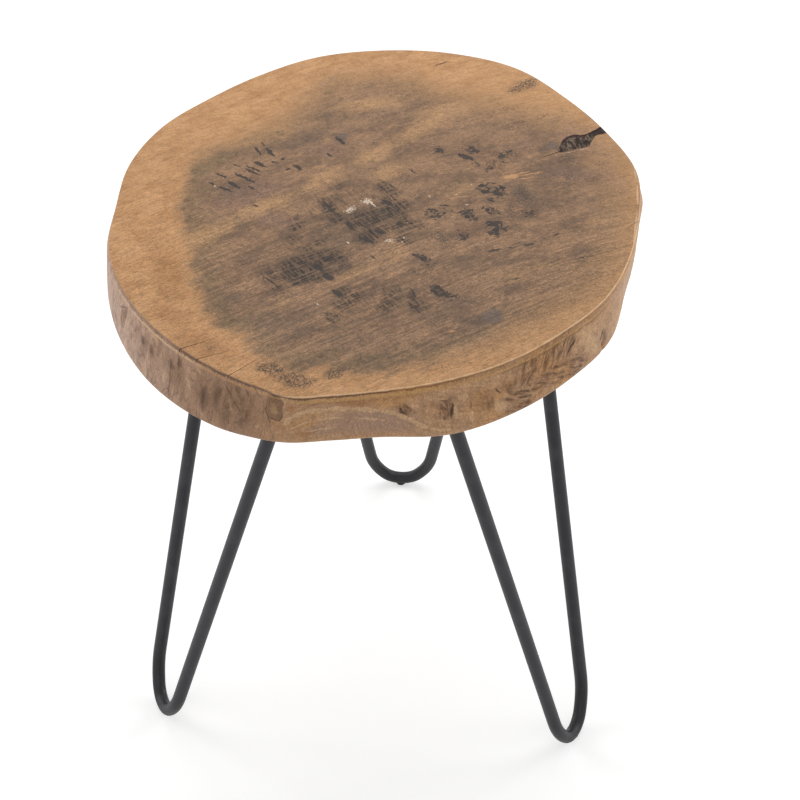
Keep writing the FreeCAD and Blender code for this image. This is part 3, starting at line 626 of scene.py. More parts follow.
# The live edge: stripped of bark, fluted and smudged, with thin bands along the rim under the top
edgeWood = {
    "base": tone(186, 147, 113),
    "warm": tone(192, 145, 100),
    "mauve": tone(170, 138, 118),
    "mauveHighlight": tone(192, 160, 140),
    "shade": tone(128, 98, 74),
    "smudge": tone(92, 67, 50),
    "bark": tone(112, 80, 60),
    "barkDark": tone(58, 41, 33),
    "dark": tone(50, 34, 26),
    "pale": tone(206, 168, 128),
    "orange": tone(168, 112, 66),
    "knotBody": tone(114, 86, 61),
    "knotHeart": tone(172, 138, 96),
    # pale wear on the arris with a painted highlight over it, also used for the painted highlight on the
    # ridge below the left front arris
    "wornSheen": tone(226, 188, 146),
    "rimGrey": tone(150, 126, 120),
    "rimMauve": tone(158, 124, 106),
    "rimDark": tone(78, 50, 36),
    "rimBrown": tone(102, 68, 43),
    "rimOrange": tone(148, 102, 62),
    "rimOchre": tone(196, 151, 98),
    "rimTan": tone(172, 132, 92),
    "rimOlive": tone(128, 96, 56),
    "wornSheenDrop": 0.65,
    "wornSheenStarts": ((262, 387), (300, 395)),
    # the two ends in the photograph, the upper and lower edge in mm below the top, colour, strength
    "rimRuns": [
        ((106, 262), (172, 354), 0.7, 2.1, "rimMauve", 0.6),
        ((112, 306), (196, 368), -0.6, 0.7, "rimDark", 0.6),
        ((176, 357), (294, 398), -0.3, 1.5, "rimDark", 0.7),
        # a painted highlight along the ridge under the dark band at the left front
        ((118, 312), (200, 370), 2.5, 3.4, "wornSheen", 0.65),
        ((196, 366), (290, 398), 2.3, 3.4, "rimOchre", 0.5),
        ((288, 397), (400, 392), 0.8, 1.9, "rimBrown", 0.9),
        ((396, 392), (470, 380), 0.8, 2.4, "rimOrange", 0.85),
        ((294, 400), (450, 394), 2.4, 4.6, "rimOchre", 0.85),
        ((440, 392), (606, 314), 0.8, 1.8, "rimOrange", 0.6),
        ((440, 392), (606, 314), 1.8, 3.6, "rimTan", 0.6),
        ((430, 396), (606, 318), 3.6, 4.8, "rimOchre", 0.75),
        ((300, 404), (420, 402), 4.6, 6.6, "rimOrange", 0.35),
        ((500, 380), (606, 316), 4.9, 6.0, "rimOlive", 0.6),
    ],
    "shades": [
        (196, 384, 262, 420, 22, 0.9), (165, 356, 185, 390, 12, 0.7), (135, 330, 160, 360, 10, 0.5),
        (472, 400, 498, 404, 12, 0.4), (600, 330, 612, 340, 8, 0.8), (576, 342, 588, 370, 9, 0.4),
    ],
    "smudges": [
        (171, 357, 171, 372, 3.2, 0.8), (170, 374, 167, 398, 4.0, 0.8), (179, 356, 178, 371, 2.2, 0.7),
        (204, 386, 202, 414, 5.5), (208, 400, 206, 424, 4, 0.8), (218, 384, 216, 410, 6, 0.8),
        (236, 386, 246, 410, 4, 0.5), (248, 402, 244, 428, 4, 0.5), (140, 333, 146, 346, 3.6, 0.8),
        (150, 344, 154, 362, 3, 0.6), (114, 306, 116, 326, 2.0, 0.6), (226, 404, 224, 428, 4, 0.5),
        (268, 397, 286, 400, 3.5, 0.6), (294, 401, 297, 410, 5, 0.4), (400, 404, 409, 414, 4.2, 0.45),
        (440, 402, 452, 402, 3, 0.4), (441, 404, 450, 420, 6.5, 0.45), (474, 394, 496, 412, 9, 0.35),
        (606, 327, 604, 346, 4.5, 0.9), (500, 382, 516, 392, 4, 0.4), (415, 402, 436, 414, 5, 0.3),
    ],
    "darkMarks": [
        (453, 401, 452, 420, 1.2, 0.9), (439, 402, 451, 400, 0.8, 0.5), (603, 343, 607, 349, 3.0),
        (399, 406, 402, 412, 1.0, 0.6), (405, 404, 408, 409, 0.9, 0.5), (398, 411, 408, 414, 0.9, 0.6),
        (566, 358, 577, 336, 1.2, 0.8), (604, 327, 600, 345, 1.2, 0.7),
        (516, 399, 534, 395, 1.0, 0.6), (171, 358, 170, 368, 1.1, 0.8),
        (170, 376, 167, 396, 1.1, 0.7), (179, 356, 178, 370, 0.9, 0.9), (204, 388, 201, 410, 1.4, 0.7),
        (223, 380, 233, 398, 0.8, 0.8), (233, 398, 242, 415, 0.7, 0.7), (254, 386, 262, 400, 0.8, 0.7),
        (262, 400, 272, 432, 0.7, 0.5), (113, 306, 114, 324, 0.9, 0.7), (118, 306, 126, 308, 0.9, 0.7),
        (141, 334, 144, 345, 0.9, 0.7), (494, 388, 502, 394, 1.0, 0.6),
        (190, 376, 194, 384, 0.8, 0.6), (246, 388, 250, 398, 0.8, 0.6), (470, 396, 472, 414, 0.7, 0.4),
    ],
    "paleMarks": [
        (283, 425, 293, 417, 2.1, 0.9), (291, 417, 307, 412, 2.1), (304, 413, 328, 410, 2.2),
        (325, 410, 352, 409, 2.2), (350, 409, 382, 411, 2.2), (380, 411, 398, 414, 2.1),
        (396, 414, 414, 421, 2.1), (412, 421, 429, 429, 2.1), (428, 429, 452, 431, 1.8, 0.8),
        (290, 429, 314, 420, 1.2, 0.6), (310, 421, 350, 417, 1.2, 0.5), (350, 418, 392, 421, 1.2, 0.5),
        (300, 433, 340, 427, 1.0, 0.5), (472, 410, 474, 426, 2.4, 0.6),
        (455, 402, 457, 422, 2.0, 0.6), (495, 402, 507, 412, 5, 0.6), (580, 332, 598, 352, 9, 0.5),
        (115, 300, 110, 330, 3, 0.25), (150, 330, 160, 344, 3, 0.25), (186, 372, 190, 392, 2.5, 0.28),
        (196, 366, 204, 378, 2, 0.25), (228, 388, 232, 420, 2.5, 0.22), (252, 424, 262, 431, 3, 0.25),
        (540, 392, 520, 402, 3, 0.4), (164, 366, 160, 388, 2, 0.25), (458, 398, 470, 396, 3, 0.5),
    ],
    "mauveRuns": [(318, 425, 424, 424, 14, 0.9), (300, 432, 340, 428, 6, 0.6)],
    "orangeRuns": [
        (318, 403, 392, 404, 5, 0.6), (286, 406, 296, 411, 4, 0.7), (292, 435, 322, 431, 2, 0.8),
        (430, 404, 437, 404, 3, 0.6),
    ],
    # half the width and half the height in mm
    "knots": [
        {"at": (274, 409), "halves": (7.0, 10.5), "strength": 0.66},
        {"at": (123, 317), "halves": (4.0, 9.0), "strength": 0.35},
    ],
    # strokes of old bark: patches, the turn of their strokes on the face, waves along and across
    "barkPatches": [
        ([(518, 384, 536, 360, 10), (540, 364, 553, 350, 11), (552, 354, 573, 339, 12),
          (560, 346, 574, 340, 10)],
         50, (80, 420)),
        ([(546, 378, 588, 360, 10), (508, 412, 530, 404, 7), (508, 400, 534, 394, 7, 0.9),
          (530, 388, 552, 378, 8, 0.8)], -22, (75, 400)),
        ([(443, 403, 449, 418, 6, 0.9), (400, 406, 410, 414, 5, 0.9)], 80, (200, 620)),
    ],
    "barkHeading": 48.0,
    "arch": {"apex": (349, 410), "halfWidth": 50.0, "fall": 30.0},
    "roughness": (0.46, 0.64),
    "gloss": 0.22,
}


def archedHeight(where, kit):
    # height that follows the arched growth rings of the front face
    apex = photoPoint(*kit["apex"])[0]
    share = times(calc("SUBTRACT", where.outputs[0], apex.x), 1 / (kit["halfWidth"] * mm))
    hill = calc("POWER", math.e, times(share, share, -1.0))
    return calc("ADD", where.outputs[2], times(calc("SUBTRACT", 1.0, hill), kit["fall"] * mm))


def rimBand(where, drop, start, end, high, low):
    # part of the front rim between two heights below the top, with soft ends
    first, last, soft = photoPoint(*start)[0].x, photoPoint(*end)[0].x, 7 * mm
    along = times(ramp(where.outputs[0], first - soft, first + soft),
                  ramp(where.outputs[0], last + soft, last - soft))
    down = times(ramp(drop, high - 0.35, high + 0.35), ramp(drop, low + 0.6, low - 0.6))
    return times(along, down, ramp(where.outputs[1], 0.01, -0.01))


def withKnot(vector, colour, kit, knot, mottle):
    # rings round a pale heart, with a dark line about them
    centre, normal = photoPoint(*knot["at"])
    along = up.cross(normal).normalized()
    halfWide, halfHigh = knot["halves"]
    inside = spot(vector, centre, along, normal, halfWide * mm, halfHigh * mm, 12 * mm)
    rings = calc("SINE", times(inside, 34.0))
    body = shaded(kit["knotBody"], calc("ADD", 1.0, times(rings, 0.16)))
    body = mixTone(ramp(inside, 0.55, 0.95), body, kit["knotHeart"])
    colour = mixTone(times(ramp(inside, 0.04, 0.2), knot["strength"]), colour, body)
    outline = times(ramp(inside, 0.01, 0.08), ramp(inside, 0.24, 0.12))
    outline = times(outline, ramp(mottle, 0.44, 0.54), knot["strength"])
    return mixTone(outline, colour, kit["dark"])


def barkFields(place, kit, face, mottle):
    # masks of the strokes and of their darkest cores
    strips, cores = [], []
    for patches, turn, (along, across) in kit["barkPatches"]:
        marks = strokes(place, patches, 12 * mm)
        region = times(ramp(swayed(marks, mottle, 1.0), 0.0, 0.4), ramp(marks, 0.0, 0.15))
        field = stretched(turned(face, -turn), (along, across, 1), detail=3.0, rough=0.6)
        strips.append(times(region, ramp(field, 0.42, 0.56, 0.22, 1.0)))
        cores.append(times(region, ramp(field, 0.54, 0.62)))
    return highest(strips), highest(cores)


def edgeFields(place, kit):
    # the coordinates and noises that the layers of the edge share
    where = add("SeparateXYZ", {0: place})
    drift = bent(place, (30, 30, 20), (0.012, 0.012, 0.012))
    arched = archedHeight(where, kit["arch"])
    bowed = add("CombineXYZ", {0: where.outputs[0], 1: where.outputs[1], 2: arched}).outputs[0]
    heading = math.radians(kit["barkHeading"])
    forward = (math.cos(heading), math.sin(heading), 0)
    onward = add("VectorMath", {0: place, 1: forward}, operation="DOT_PRODUCT").outputs["Value"]
    return {
        "where": where,
        "ragged": bent(place, (150, 150, 110), (0.006, 0.006, 0.005)),
        "sharp": bent(place, (330, 330, 260), (0.0024, 0.0024, 0.0024)),
        "flow": stretched(drift, (120, 120, 30), detail=6.0, rough=0.68),
        "slow": stretched(place, (26, 26, 34), detail=4.0, rough=0.6),
        "fine": stretched(place, (900, 900, 640), detail=4.0, rough=0.72),
        "mottle": stretched(place, (170, 170, 150), detail=5.0, rough=0.72),
        "layers": stretched(bent(bowed, (20, 20, 20), (0, 0, 0.010)), (22, 22, 430), 3.0, 0.62),
        "hairs": thinLines(drift, (190, 190, 34), 0.035, 2.5),
        "face": add("CombineXYZ", {0: onward, 1: where.outputs[2]}).outputs[0],
    }


def runMask(field, marks, low, high, noiseField=None, amount=1.0):
    # strokes on the edge, frayed by a noise
    body = strokes(field, marks, 10 * mm)
    frayed = body if noiseField is None else swayed(body, noiseField, amount)
    return times(ramp(frayed, low, high), ramp(body, 0.0, 0.15))


def withRim(colour, edge, kit, frontSide):
    # thin bands along the rim, one a painted highlight on the ridge under the left front arris, and the
    # arris pale in front, partly wear and partly a painted highlight, and grey behind
    where, mottle, fine = edge["where"], edge["mottle"], edge["fine"]
    drop = times(calc("SUBTRACT", slabHigh.z, where.outputs[2]), 1 / mm)
    drop = swayed(swayed(drop, mottle, 3.0), fine, 1.2)
    for start, end, high, low, key, amount in kit["rimRuns"]:
        colour = painted(colour, kit, (rimBand(where, drop, start, end, high, low), amount, key))
    colour = shaded(colour, around(fine, 1.1), around(fine, frontSide, 0.7))
    wornSheenLow = slabHigh.z - kit["wornSheenDrop"] * mm
    wornSheenEdge = ramp(where.outputs[2], wornSheenLow, wornSheenLow + 0.4 * kit["wornSheenDrop"] * mm)
    frontArris = [photoPoint(*pixel)[0].x for pixel in kit["wornSheenStarts"]]
    wornSheenShare = ramp(where.outputs[0], *frontArris, 0.2, 1.0)
    wornSheenEdge = times(wornSheenEdge, ramp(mottle, 0.6, 0.42, 0.5, 1.0), wornSheenShare)
    wornSheenTone = mixTone(ramp(where.outputs[1], -0.01, 0.03), kit["wornSheen"], kit["rimGrey"])
    return mixTone(wornSheenEdge, colour, wornSheenTone)


def edgeMaterial():
    material, place = newMaterial("strippedLiveEdge")
    kit = edgeWood
    edge = edgeFields(place, kit)
    ragged, sharp = edge["ragged"], edge["sharp"]
    flow, fine, mottle = edge["flow"], edge["fine"], edge["mottle"]
    alongX = edge["where"].outputs[0]
    leftSide = ramp(alongX, -0.04, -0.09)
    frontSide = calc("SUBTRACT", 1.0, leftSide)
    leftFlow = calc("ADD", 0.3, times(leftSide, 0.7))
    colour = mixTone(ramp(edge["slow"], 0.4, 0.62), kit["base"], kit["warm"])
    # the far left of the edge turns pale mauve, a painted highlight
    colour = painted(
        colour, kit, (leftSide, 0.75, "mauve"), (ramp(alongX, -0.118, -0.162), 0.8, "mauveHighlight"),
        (runMask(ragged, kit["shades"], 0.0, 0.6, mottle), 0.55, "shade"),
        (ramp(flow, 0.5, 0.66, 0.0, 0.6), leftFlow, "shade"),
    )
    # the last shade is a painted highlight: the edge grows lighter towards its right side
    colour = shaded(
        colour, around(flow, 0.45), around(flow, leftSide, 0.5), around(mottle, 1.0),
        around(edge["layers"], frontSide, 0.8), ramp(alongX, -0.06, 0.1, 1.0, 1.06),
    )
    colour = painted(
        colour, kit, (runMask(ragged, kit["mauveRuns"], 0.0, 0.5), 0.75, "mauve"),
        (runMask(ragged, kit["orangeRuns"], 0.05, 0.6, mottle), 0.6, "orange"),
        (runMask(ragged, kit["smudges"], 0.04, 0.7, flow, 2.0), 0.62, "smudge"),
        (times(edge["hairs"], leftFlow), 0.35, "smudge"),
    )
    for knot in kit["knots"]:
        colour = withKnot(ragged, colour, kit, knot, mottle)
    bark, barkCore = barkFields(ragged, kit, edge["face"], mottle)
    darkMask = runMask(sharp, kit["darkMarks"], 0.08, 0.4, fine)
    colour = painted(
        colour, kit, (runMask(sharp, kit["paleMarks"], 0.05, 0.3, mottle, 0.6), 0.85, "pale"),
        (bark, 0.62, "bark"), (barkCore, 0.42, "barkDark"),
        (darkMask, ramp(leftSide, 0.0, 1.0, 0.8, 0.45), "dark"),
    )
    colour = withRim(colour, edge, kit, frontSide)
    height = calc("ADD", times(fine, 0.3), flow)
    height = calc("SUBTRACT", calc("SUBTRACT", height, times(darkMask, 0.5)), times(bark, 0.4))
    wire(colour, ramp(fine, 0.3, 0.8, *kit["roughness"]), height, 0.5, 0.9, kit["gloss"])
    return material


def undersideMaterial():
    material, place = newMaterial("sawnUnderside")
    grain = turned(place, -topWood["grainTurn"])
    wide = stretched(grain, (5, 60, 1), detail=4.0)
    saw = stretched(turned(place, 50), (520, 12, 1), detail=2.0)
    fibre = stretched(grain, (40, 800, 1), detail=3.0)
    colour = mixTone(ramp(wide, 0.35, 0.7), tone(176, 140, 104), tone(138, 106, 80))
    colour = shaded(colour, ramp(saw, 0.35, 0.7, 1.05, 0.9), ramp(fibre, 0.3, 0.7, 1.05, 0.9))
    wire(colour, 0.7, calc("ADD", saw, fibre), 0.4, 0.5)
    return material


def splitMaterial():
    material, place = newMaterial("tornSplit")
    grain = turned(place, -(topWood["grainTurn"] + 70))
    fibre = stretched(grain, (230, 640, 380), detail=4.0, rough=0.65)
    clump = stretched(place, (150, 150, 200), detail=3.0)
    # painted shade: the split's steep walls are darker than its up-facing floor
    facing = add("NewGeometry").outputs["Normal"]
    lying = ramp(add("SeparateXYZ", {0: facing}).outputs[2], 0.1, 0.5)
    floorTone = mixTone(ramp(fibre, 0.36, 0.62), tone(124, 106, 91), tone(52, 41, 36))
    floorTone = mixTone(ramp(clump, 0.48, 0.62, 0.0, 0.75), floorTone, tone(40, 32, 29))
    wallTone = mixTone(ramp(fibre, 0.4, 0.65), tone(70, 50, 49), tone(48, 34, 34))
    colour = mixTone(lying, wallTone, floorTone)
    # painted shade along the lip, over the wall beneath it, and at the mouth
    lipShade = strokes(place, split["lipShadeMarks"], 20 * mm)
    colour = mixTone(ramp(lipShade, 0.0, 0.35, 0.0, 0.85), colour, tone(62, 43, 46))
    mouth = strokes(place, split["mouthShadeMarks"], 14 * mm)
    colour = mixTone(ramp(mouth, 0.0, 0.35, 0.0, 0.8), colour, tone(44, 34, 34))
    wire(colour, 0.8, fibre, 0.5, 0.6, gloss=0.15)
    return material


# The slab itself, built as rings round an uneven rim
slab = {
    "segments": 1200,
    "radius": 184 * mm,
    "swell": 12 * mm,
    "rimShares": [
        (0, 0.954, -0.05), (15, 0.992, 0.10), (30, 0.992, 0.15), (45, 1.008, 0.25),
        (60, 1.046, 0.15), (75, 1.035, 0.15), (90, 1.012, 0.15), (105, 0.993, 0.25),
        (120, 0.959, 0.35), (135, 0.945, 0.35), (150, 0.963, 0.25), (165, 0.968, 0.15),
        (180, 0.963, 0.15), (195, 1.000, 0.15), (210, 1.013, 0.50), (225, 1.019, 0.92),
        (240, 1.028, 1.00), (248, 1.035, 0.70), (254, 1.044, 0.30), (262, 1.002, 0.25),
        (272, 0.965, 0.35), (285, 0.942, 0.95), (300, 0.929, 0.85), (315, 0.922, 0.68),
        (330, 0.936, 0.40), (345, 0.939, -0.15),
    ],
    "upperEdge": [
        (0.0, -1.5), (0.2, -0.95), (0.6, -0.65), (1.2, -0.55), (1.9, -0.4), (2.4, -0.15),
        (2.9, 0.05), (3.8, 0.05),
    ],
    "lowerEdge": [(34.5, -0.1), (35.6, -0.5), (36.6, -1.3), (37.4, -2.3), (38.0, -3.4)],
    "sideLevels": 23,
    "thickness": 38.0,
    "swellDrops": (2.5, 34.0),
    "swellLinearShare": 0.313,
    "reliefFrom": 2.2,
    "backChamferShare": 0.3,
    "frontArc": (168, 372, 24),
    # the stripped edge's relief: waves per metre or mm from one to the next, depth in mm, arc in degrees
    "reliefFades": ((3.5, 8), (31, 36)),
    "broad": {"waves": Vector((26, 26, 14)), "depth": 0.9, "limit": 0.25},
    "ripple": {"waves": Vector((95, 95, 30)), "depth": 0.22},
    "flutes": {"apart": (11, 55), "depth": 1.9, "arc": (198, 262, 14)},
    "barkRidges": {"apart": (6, 26), "slants": (0.7, 0.2), "depth": 2.6, "arc": (293, 324, 8)},
    "innerRing": 12.0,
    "shoulder": {"at": (643, 193), "halfWidth": 26.0, "rise": 1.6, "drops": (2.0, 8.0, 24.0)},
    # past its reach in mm a knot is left out, and its groove is a share of its size wide
    "knotReach": 30.0,
    "grooveWidth": 0.2,
    "knots": [
        {"at": (272, 410), "halfWidth": 6.0, "halfHeight": 9.0, "groove": 0.9, "dome": 0.7},
        {"at": (400, 410), "halfWidth": 3.2, "halfHeight": 3.4, "groove": 0.6, "dome": -0.9},
        {"at": (123, 314), "halfWidth": 3.0, "halfHeight": 6.5, "groove": 0.5, "dome": 0.3},
        {"at": (604, 346), "halfWidth": 3.0, "halfHeight": 5.0, "groove": 0.3, "dome": -2.2},
    ],
    "notch": {"at": (445, 410), "halfWidth": 5.5, "halfHeight": 8.0, "depth": 0.9, "edge": (0.75, 1.05)},
}


def aroundRim(column, bearing):
    # smooth curve through the rim's rows, closed on itself
    rows = slab["rimShares"]
    count = len(rows)
    index = max(i for i in range(count) if rows[i][0] <= bearing % 360)

    def row(step):
        turn, place = divmod(index + step, count)
        return rows[place][0] + 360 * turn, rows[place][column]

    (x0, y0), (x1, y1), (x2, y2), (x3, y3) = row(-1), row(0), row(1), row(2)
    span = x2 - x1
    share = (bearing % 360 - x1) / span
    slope1 = (y2 - y0) / (x2 - x0) * span
    slope2 = (y3 - y1) / (x3 - x1) * span
    return (
        (2 * share**3 - 3 * share**2 + 1) * y1
        + (share**3 - 2 * share**2 + share) * slope1
        + (3 * share**2 - 2 * share**3) * y2
        + (share**3 - share**2) * slope2
    )


def easing(value, low, high):
    share = min(max((value - low) / (high - low), 0), 1)
    return share * share * (3 - 2 * share)


def alongArc(bearing, start, end, ease):
    return easing(bearing, start, start + ease) * (1 - easing(bearing, end - ease, end))


def edgeRelief(point, bearing, drop, knots, shoulder):
    # how far the stripped edge stands out or in, in millimetres
    broad, ripple, flutes, ridges = (slab[name] for name in ("broad", "ripple", "flutes", "barkRidges"))
    inner, outer = slab["reliefFades"]
    arc = math.radians(bearing) * slab["radius"] / mm
    wave = noise.noise(point * broad["waves"]) * broad["depth"]
    total = min(wave, broad["limit"]) + noise.fractal(point * ripple["waves"], 0.8, 2.0, 4) * ripple["depth"]
    apart, long = flutes["apart"]
    fold = abs(noise.noise(Vector((arc / apart, drop / long, 4.2))))
    total -= fold * flutes["depth"] * alongArc(bearing, *flutes["arc"])
    apart, long = ridges["apart"]
    lean, fall = ridges["slants"]
    fold = abs(noise.noise(Vector(((arc + drop * lean) / apart, (drop - arc * fall) / long, 9.1))))
    total -= fold * ridges["depth"] * alongArc(bearing, *ridges["arc"])
    total *= easing(drop, *inner) * (1 - easing(drop, *outer))
    start, full, end = slab["shoulder"]["drops"]
    away = abs(point.y - shoulder.y) / mm / slab["shoulder"]["halfWidth"]
    if point.x > 0 and away < 1:
        rise = easing(drop, start, full) * (1 - easing(drop, full, end))
        total += slab["shoulder"]["rise"] * (1 - easing(away, 0, 1)) * rise
    for knot, centre, tangent in knots:
        offset = point - centre
        across = offset.dot(tangent) / mm / knot["halfWidth"]
        height = offset.z / mm / knot["halfHeight"]
        if abs(across) > 2 or abs(height) > 2 or offset.length > slab["knotReach"] * mm:
            continue
        if "depth" in knot:
            size = max(abs(across), abs(height))
            total -= knot["depth"] * (1 - easing(size, *knot["edge"]))
            continue
        size = math.hypot(across, height)
        total -= knot["groove"] * math.exp(-(((size - 1) / slab["grooveWidth"]) ** 2))
        total += knot["dome"] * (1 - easing(size, 0.0, 1.0))
    return total


def chamferShare(bearing):
    # the top arris is eased more at the front than at the back
    start, end, ease = slab["frontArc"]
    front = alongArc(bearing, start, end, ease) + 1 - easing(bearing, start - 180, end - 360)
    return slab["backChamferShare"] + (1 - slab["backChamferShare"]) * min(front, 1)


def slabLevels():
    # drops below the top in mm, each with its inset, from the upper arris to the lower one
    upper, lower, count = slab["upperEdge"], slab["lowerEdge"], slab["sideLevels"] + 1
    first, last = upper[-1][0], lower[0][0]
    return upper + [(first + (last - first) * step / count, 0.0) for step in range(1, count)] + lower


def firstRing(mesh, count):
    bmesh.ops.create_circle(mesh, segments=count, radius=1.0)
    ring = sorted(mesh.verts, key=lambda vert: math.atan2(vert.co.y, vert.co.x) % math.tau)
    return ring, list(mesh.edges)


def nextRing(mesh, ring, edges):
    # the ring is drawn out once more, and its new points keep the old ones' order
    result = bmesh.ops.extrude_edge_only(mesh, edges=edges)["geom"]
    fresh = {v for v in result if isinstance(v, bmesh.types.BMVert)}
    ring = [next(e.other_vert(v) for e in v.link_edges if e.other_vert(v) in fresh) for v in ring]
    onRing = set(ring)
    return ring, [e for e in result if isinstance(e, bmesh.types.BMEdge) and onRing.issuperset(e.verts)]


def makeSlab():
    kit = slab
    count = kit["segments"]
    bearings = [360 * i / count for i in range(count)]
    rims = [(aroundRim(1, b) * kit["radius"], aroundRim(2, b) * kit["swell"]) for b in bearings]
    knots = []
    for knot in kit["knots"] + [kit["notch"]]:
        centre, normal = photoPoint(*knot["at"])
        knots.append((knot, centre, up.cross(normal).normalized()))
    shoulder = photoPoint(*kit["shoulder"]["at"])[0]
    rise = (slabHigh.z - slabLow.z) / kit["thickness"]
    (swellStart, swellEnd), linear = kit["swellDrops"], kit["swellLinearShare"]

    mesh = bmesh.new()
    ring, edges = firstRing(mesh, count)
    topRing = ring
    for number, (drop, inset) in enumerate(slabLevels()):
        if number:
            ring, edges = nextRing(mesh, ring, edges)
        share = 1 - min(max((drop - swellStart) / (swellEnd - swellStart), 0), 1)
        spread = 1 - linear * share - (1 - linear) * share * share
        for vert, bearing, (radius, swell) in zip(ring, bearings, rims):
            angle = math.radians(bearing)
            facing = Vector((math.cos(angle), math.sin(angle), 0))
            reach = radius + swell * spread + inset * chamferShare(bearing) * mm
            point = facing * reach + up * (slabHigh.z - drop * rise)
            if drop > kit["reliefFrom"]:
                point += facing * edgeRelief(point, bearing, drop, knots, shoulder) * mm
            point.x = min(max(point.x, slabLow.x), slabHigh.x)
            point.y = min(max(point.y, slabLow.y), slabHigh.y)
            vert.co = point
    for face in mesh.faces:
        face.smooth = True
        face.material_index = 1
    closeFace(mesh, ring, 2)
    closeFace(mesh, topRing, 0)
    bmesh.ops.recalc_face_normals(mesh, faces=mesh.faces)
    return finishPiece("liveEdgeSlab", mesh)


def closeFace(mesh, ring, slotIndex):
    face = mesh.faces.new(ring)
    face.material_index = slotIndex
    inner = bmesh.ops.inset_individual(mesh, faces=[face], thickness=slab["innerRing"] * mm)
    for other in inner["faces"]:
        other.material_index = slotIndex


def finishPiece(name, mesh):
    data = bpy.data.meshes.new(name)
    mesh.to_mesh(data)
    mesh.free()
    piece = bpy.data.objects.new(name, data)
    bpy.context.scene.collection.objects.link(piece)
    return piece


# The split: a torn pocket running in from the rim, with hairline cracks elsewhere
split = {
    "mouth": (156.3, 92.7),
    "heading": 217.4,
    "outline": [
        (-9, -5.6), (-1.1, -4.9), (2.4, -4.6), (10.5, -4.2), (16.2, -5.3), (20.8, -9.0), (28.6, -9.2),
        (36, -5.0), (42, 0.2), (35.6, 3.9), (30.1, 5.0), (20.6, 7.6), (16.8, 5.6), (10.4, 2.0),
        (6.5, 1.4), (1.5, 3.2), (-9, 2.6),
    ],
    "pointsBetween": 8,
    "depth": 7.0,
    "lift": 2.0,
    "levels": 8,
    "narrowing": {"share": 0.02, "steps": 4},
    "jag": {"waves": 620, "depth": 0.35},
    "shake": {"waves": Vector((190, 190, 90)), "depth": 0.8, "steps": 3},
    "floorCuts": 9,
    "floorRelief": 1.6,
    # lengths of the clumps and shreds along and across, and their share of the relief
    "clumps": (2.1, 5.0, 0.65),
    "shreds": (0.9, 1.6, 0.35),
    "mouthDrop": {"depth": 5.0, "between": (2, 15)},
    "sideDrop": {"depth": 0.8, "between": (3, 8)},
    "lipShadeMarks": [(561, 142, 568, 137, 2.2), (566, 137, 590, 133, 2.6), (588, 133, 603, 126, 3.0)],
    "mouthShadeMarks": [(592, 136, 606, 128, 9)],
    "cracks": [
        ((178, 354), (215, 338), 0.7, 5.0), ((195, 363), (230, 350), 0.6, 4.0),
        ((228, 378), (260, 358), 0.6, 4.0), ((637, 224), (628, 227), 0.5, 3.0),
        ((633, 259), (622, 263), 0.6, 3.5), ((555, 153), (538, 159), 0.9, 4.0),
    ],
    # a crack's share of its width and depth at the tip, and of its width at the bottom
    "crackShape": {"tip": 0.15, "bottom": 0.2, "overrun": 3.0, "lift": 1.0},
}


def throughPoints(points, between):
    # a smooth closed curve through the points
    curve = []
    count = len(points)
    for index in range(count):
        p0, p1, p2, p3 = (Vector(points[(index + step) % count]) for step in (-1, 0, 1, 2))
        for step in range(between + 1):
            t = step / (between + 1)
            curve.append(
                0.5 * (2 * p1 + (p2 - p0) * t + (2 * p0 - 5 * p1 + 4 * p2 - p3) * t * t
                       + (3 * p1 - p0 - 3 * p2 + p3) * t**3)
            )
    return curve


def tornFloor(mesh, face, mouth, inward, across):
    # torn fibres standing up in clumps, deepest by the mouth
    kit = split
    rim = set(face.verts)
    parts = bmesh.ops.triangulate(mesh, faces=[face])["faces"]
    edges = list({e for f in parts for e in f.edges})
    cut = bmesh.ops.subdivide_edges(mesh, edges=edges, cuts=kit["floorCuts"], use_grid_fill=True)
    fresh = {v for v in cut["geom_inner"] if isinstance(v, bmesh.types.BMVert)}
    mouthDrop, sideDrop = kit["mouthDrop"], kit["sideDrop"]
    for vert in fresh - rim:
        offset = vert.co - mouth
        runIn, side = offset.dot(inward) / mm, offset.dot(across) / mm
        relief = 0
        for (long, wide, share), layer in ((kit["clumps"], 3.0), (kit["shreds"], 7.0)):
            relief += noise.noise(Vector((runIn / long, side / wide, layer))) * share * kit["floorRelief"]
        relief -= mouthDrop["depth"] * (1 - easing(runIn, *mouthDrop["between"]))
        relief -= sideDrop["depth"] * easing(-side, *sideDrop["between"])
        vert.co.z += relief * mm


def makeCutter():
    kit = split
    turn = math.radians(kit["heading"])
    inward = Vector((math.cos(turn), math.sin(turn), 0))
    across = up.cross(inward)
    mouth = Vector((kit["mouth"][0] * mm, kit["mouth"][1] * mm, slabHigh.z))
    mesh = bmesh.new()
    corners = []
    for runIn, side in throughPoints(kit["outline"], kit["pointsBetween"]):
        place = mouth + inward * runIn * mm + across * side * mm + up * kit["lift"] * mm
        jag = noise.noise(place * kit["jag"]["waves"]) * kit["jag"]["depth"] * mm
        corners.append(mesh.verts.new(place + across * jag))
    face = mesh.faces.new(corners)
    narrowing, shaking = kit["narrowing"], kit["shake"]
    for step in range(kit["levels"]):
        result = bmesh.ops.extrude_face_region(mesh, geom=[face])["geom"]
        face = next(f for f in result if isinstance(f, bmesh.types.BMFace))
        for vert in face.verts:
            vert.co.z -= (kit["depth"] + kit["lift"]) / kit["levels"] * mm
            side = (vert.co - mouth).dot(across)
            vert.co -= across * side * narrowing["share"] * min(step, narrowing["steps"])
            shake = noise.fractal(vert.co * shaking["waves"], 0.7, 2.0, 3)
            share = min(step, shaking["steps"]) / shaking["steps"]
            vert.co += across * shake * shaking["depth"] * mm * share
    tornFloor(mesh, face, mouth, inward, across)
    bmesh.ops.recalc_face_normals(mesh, faces=mesh.faces)
    return finishPiece("splitCutter", mesh)


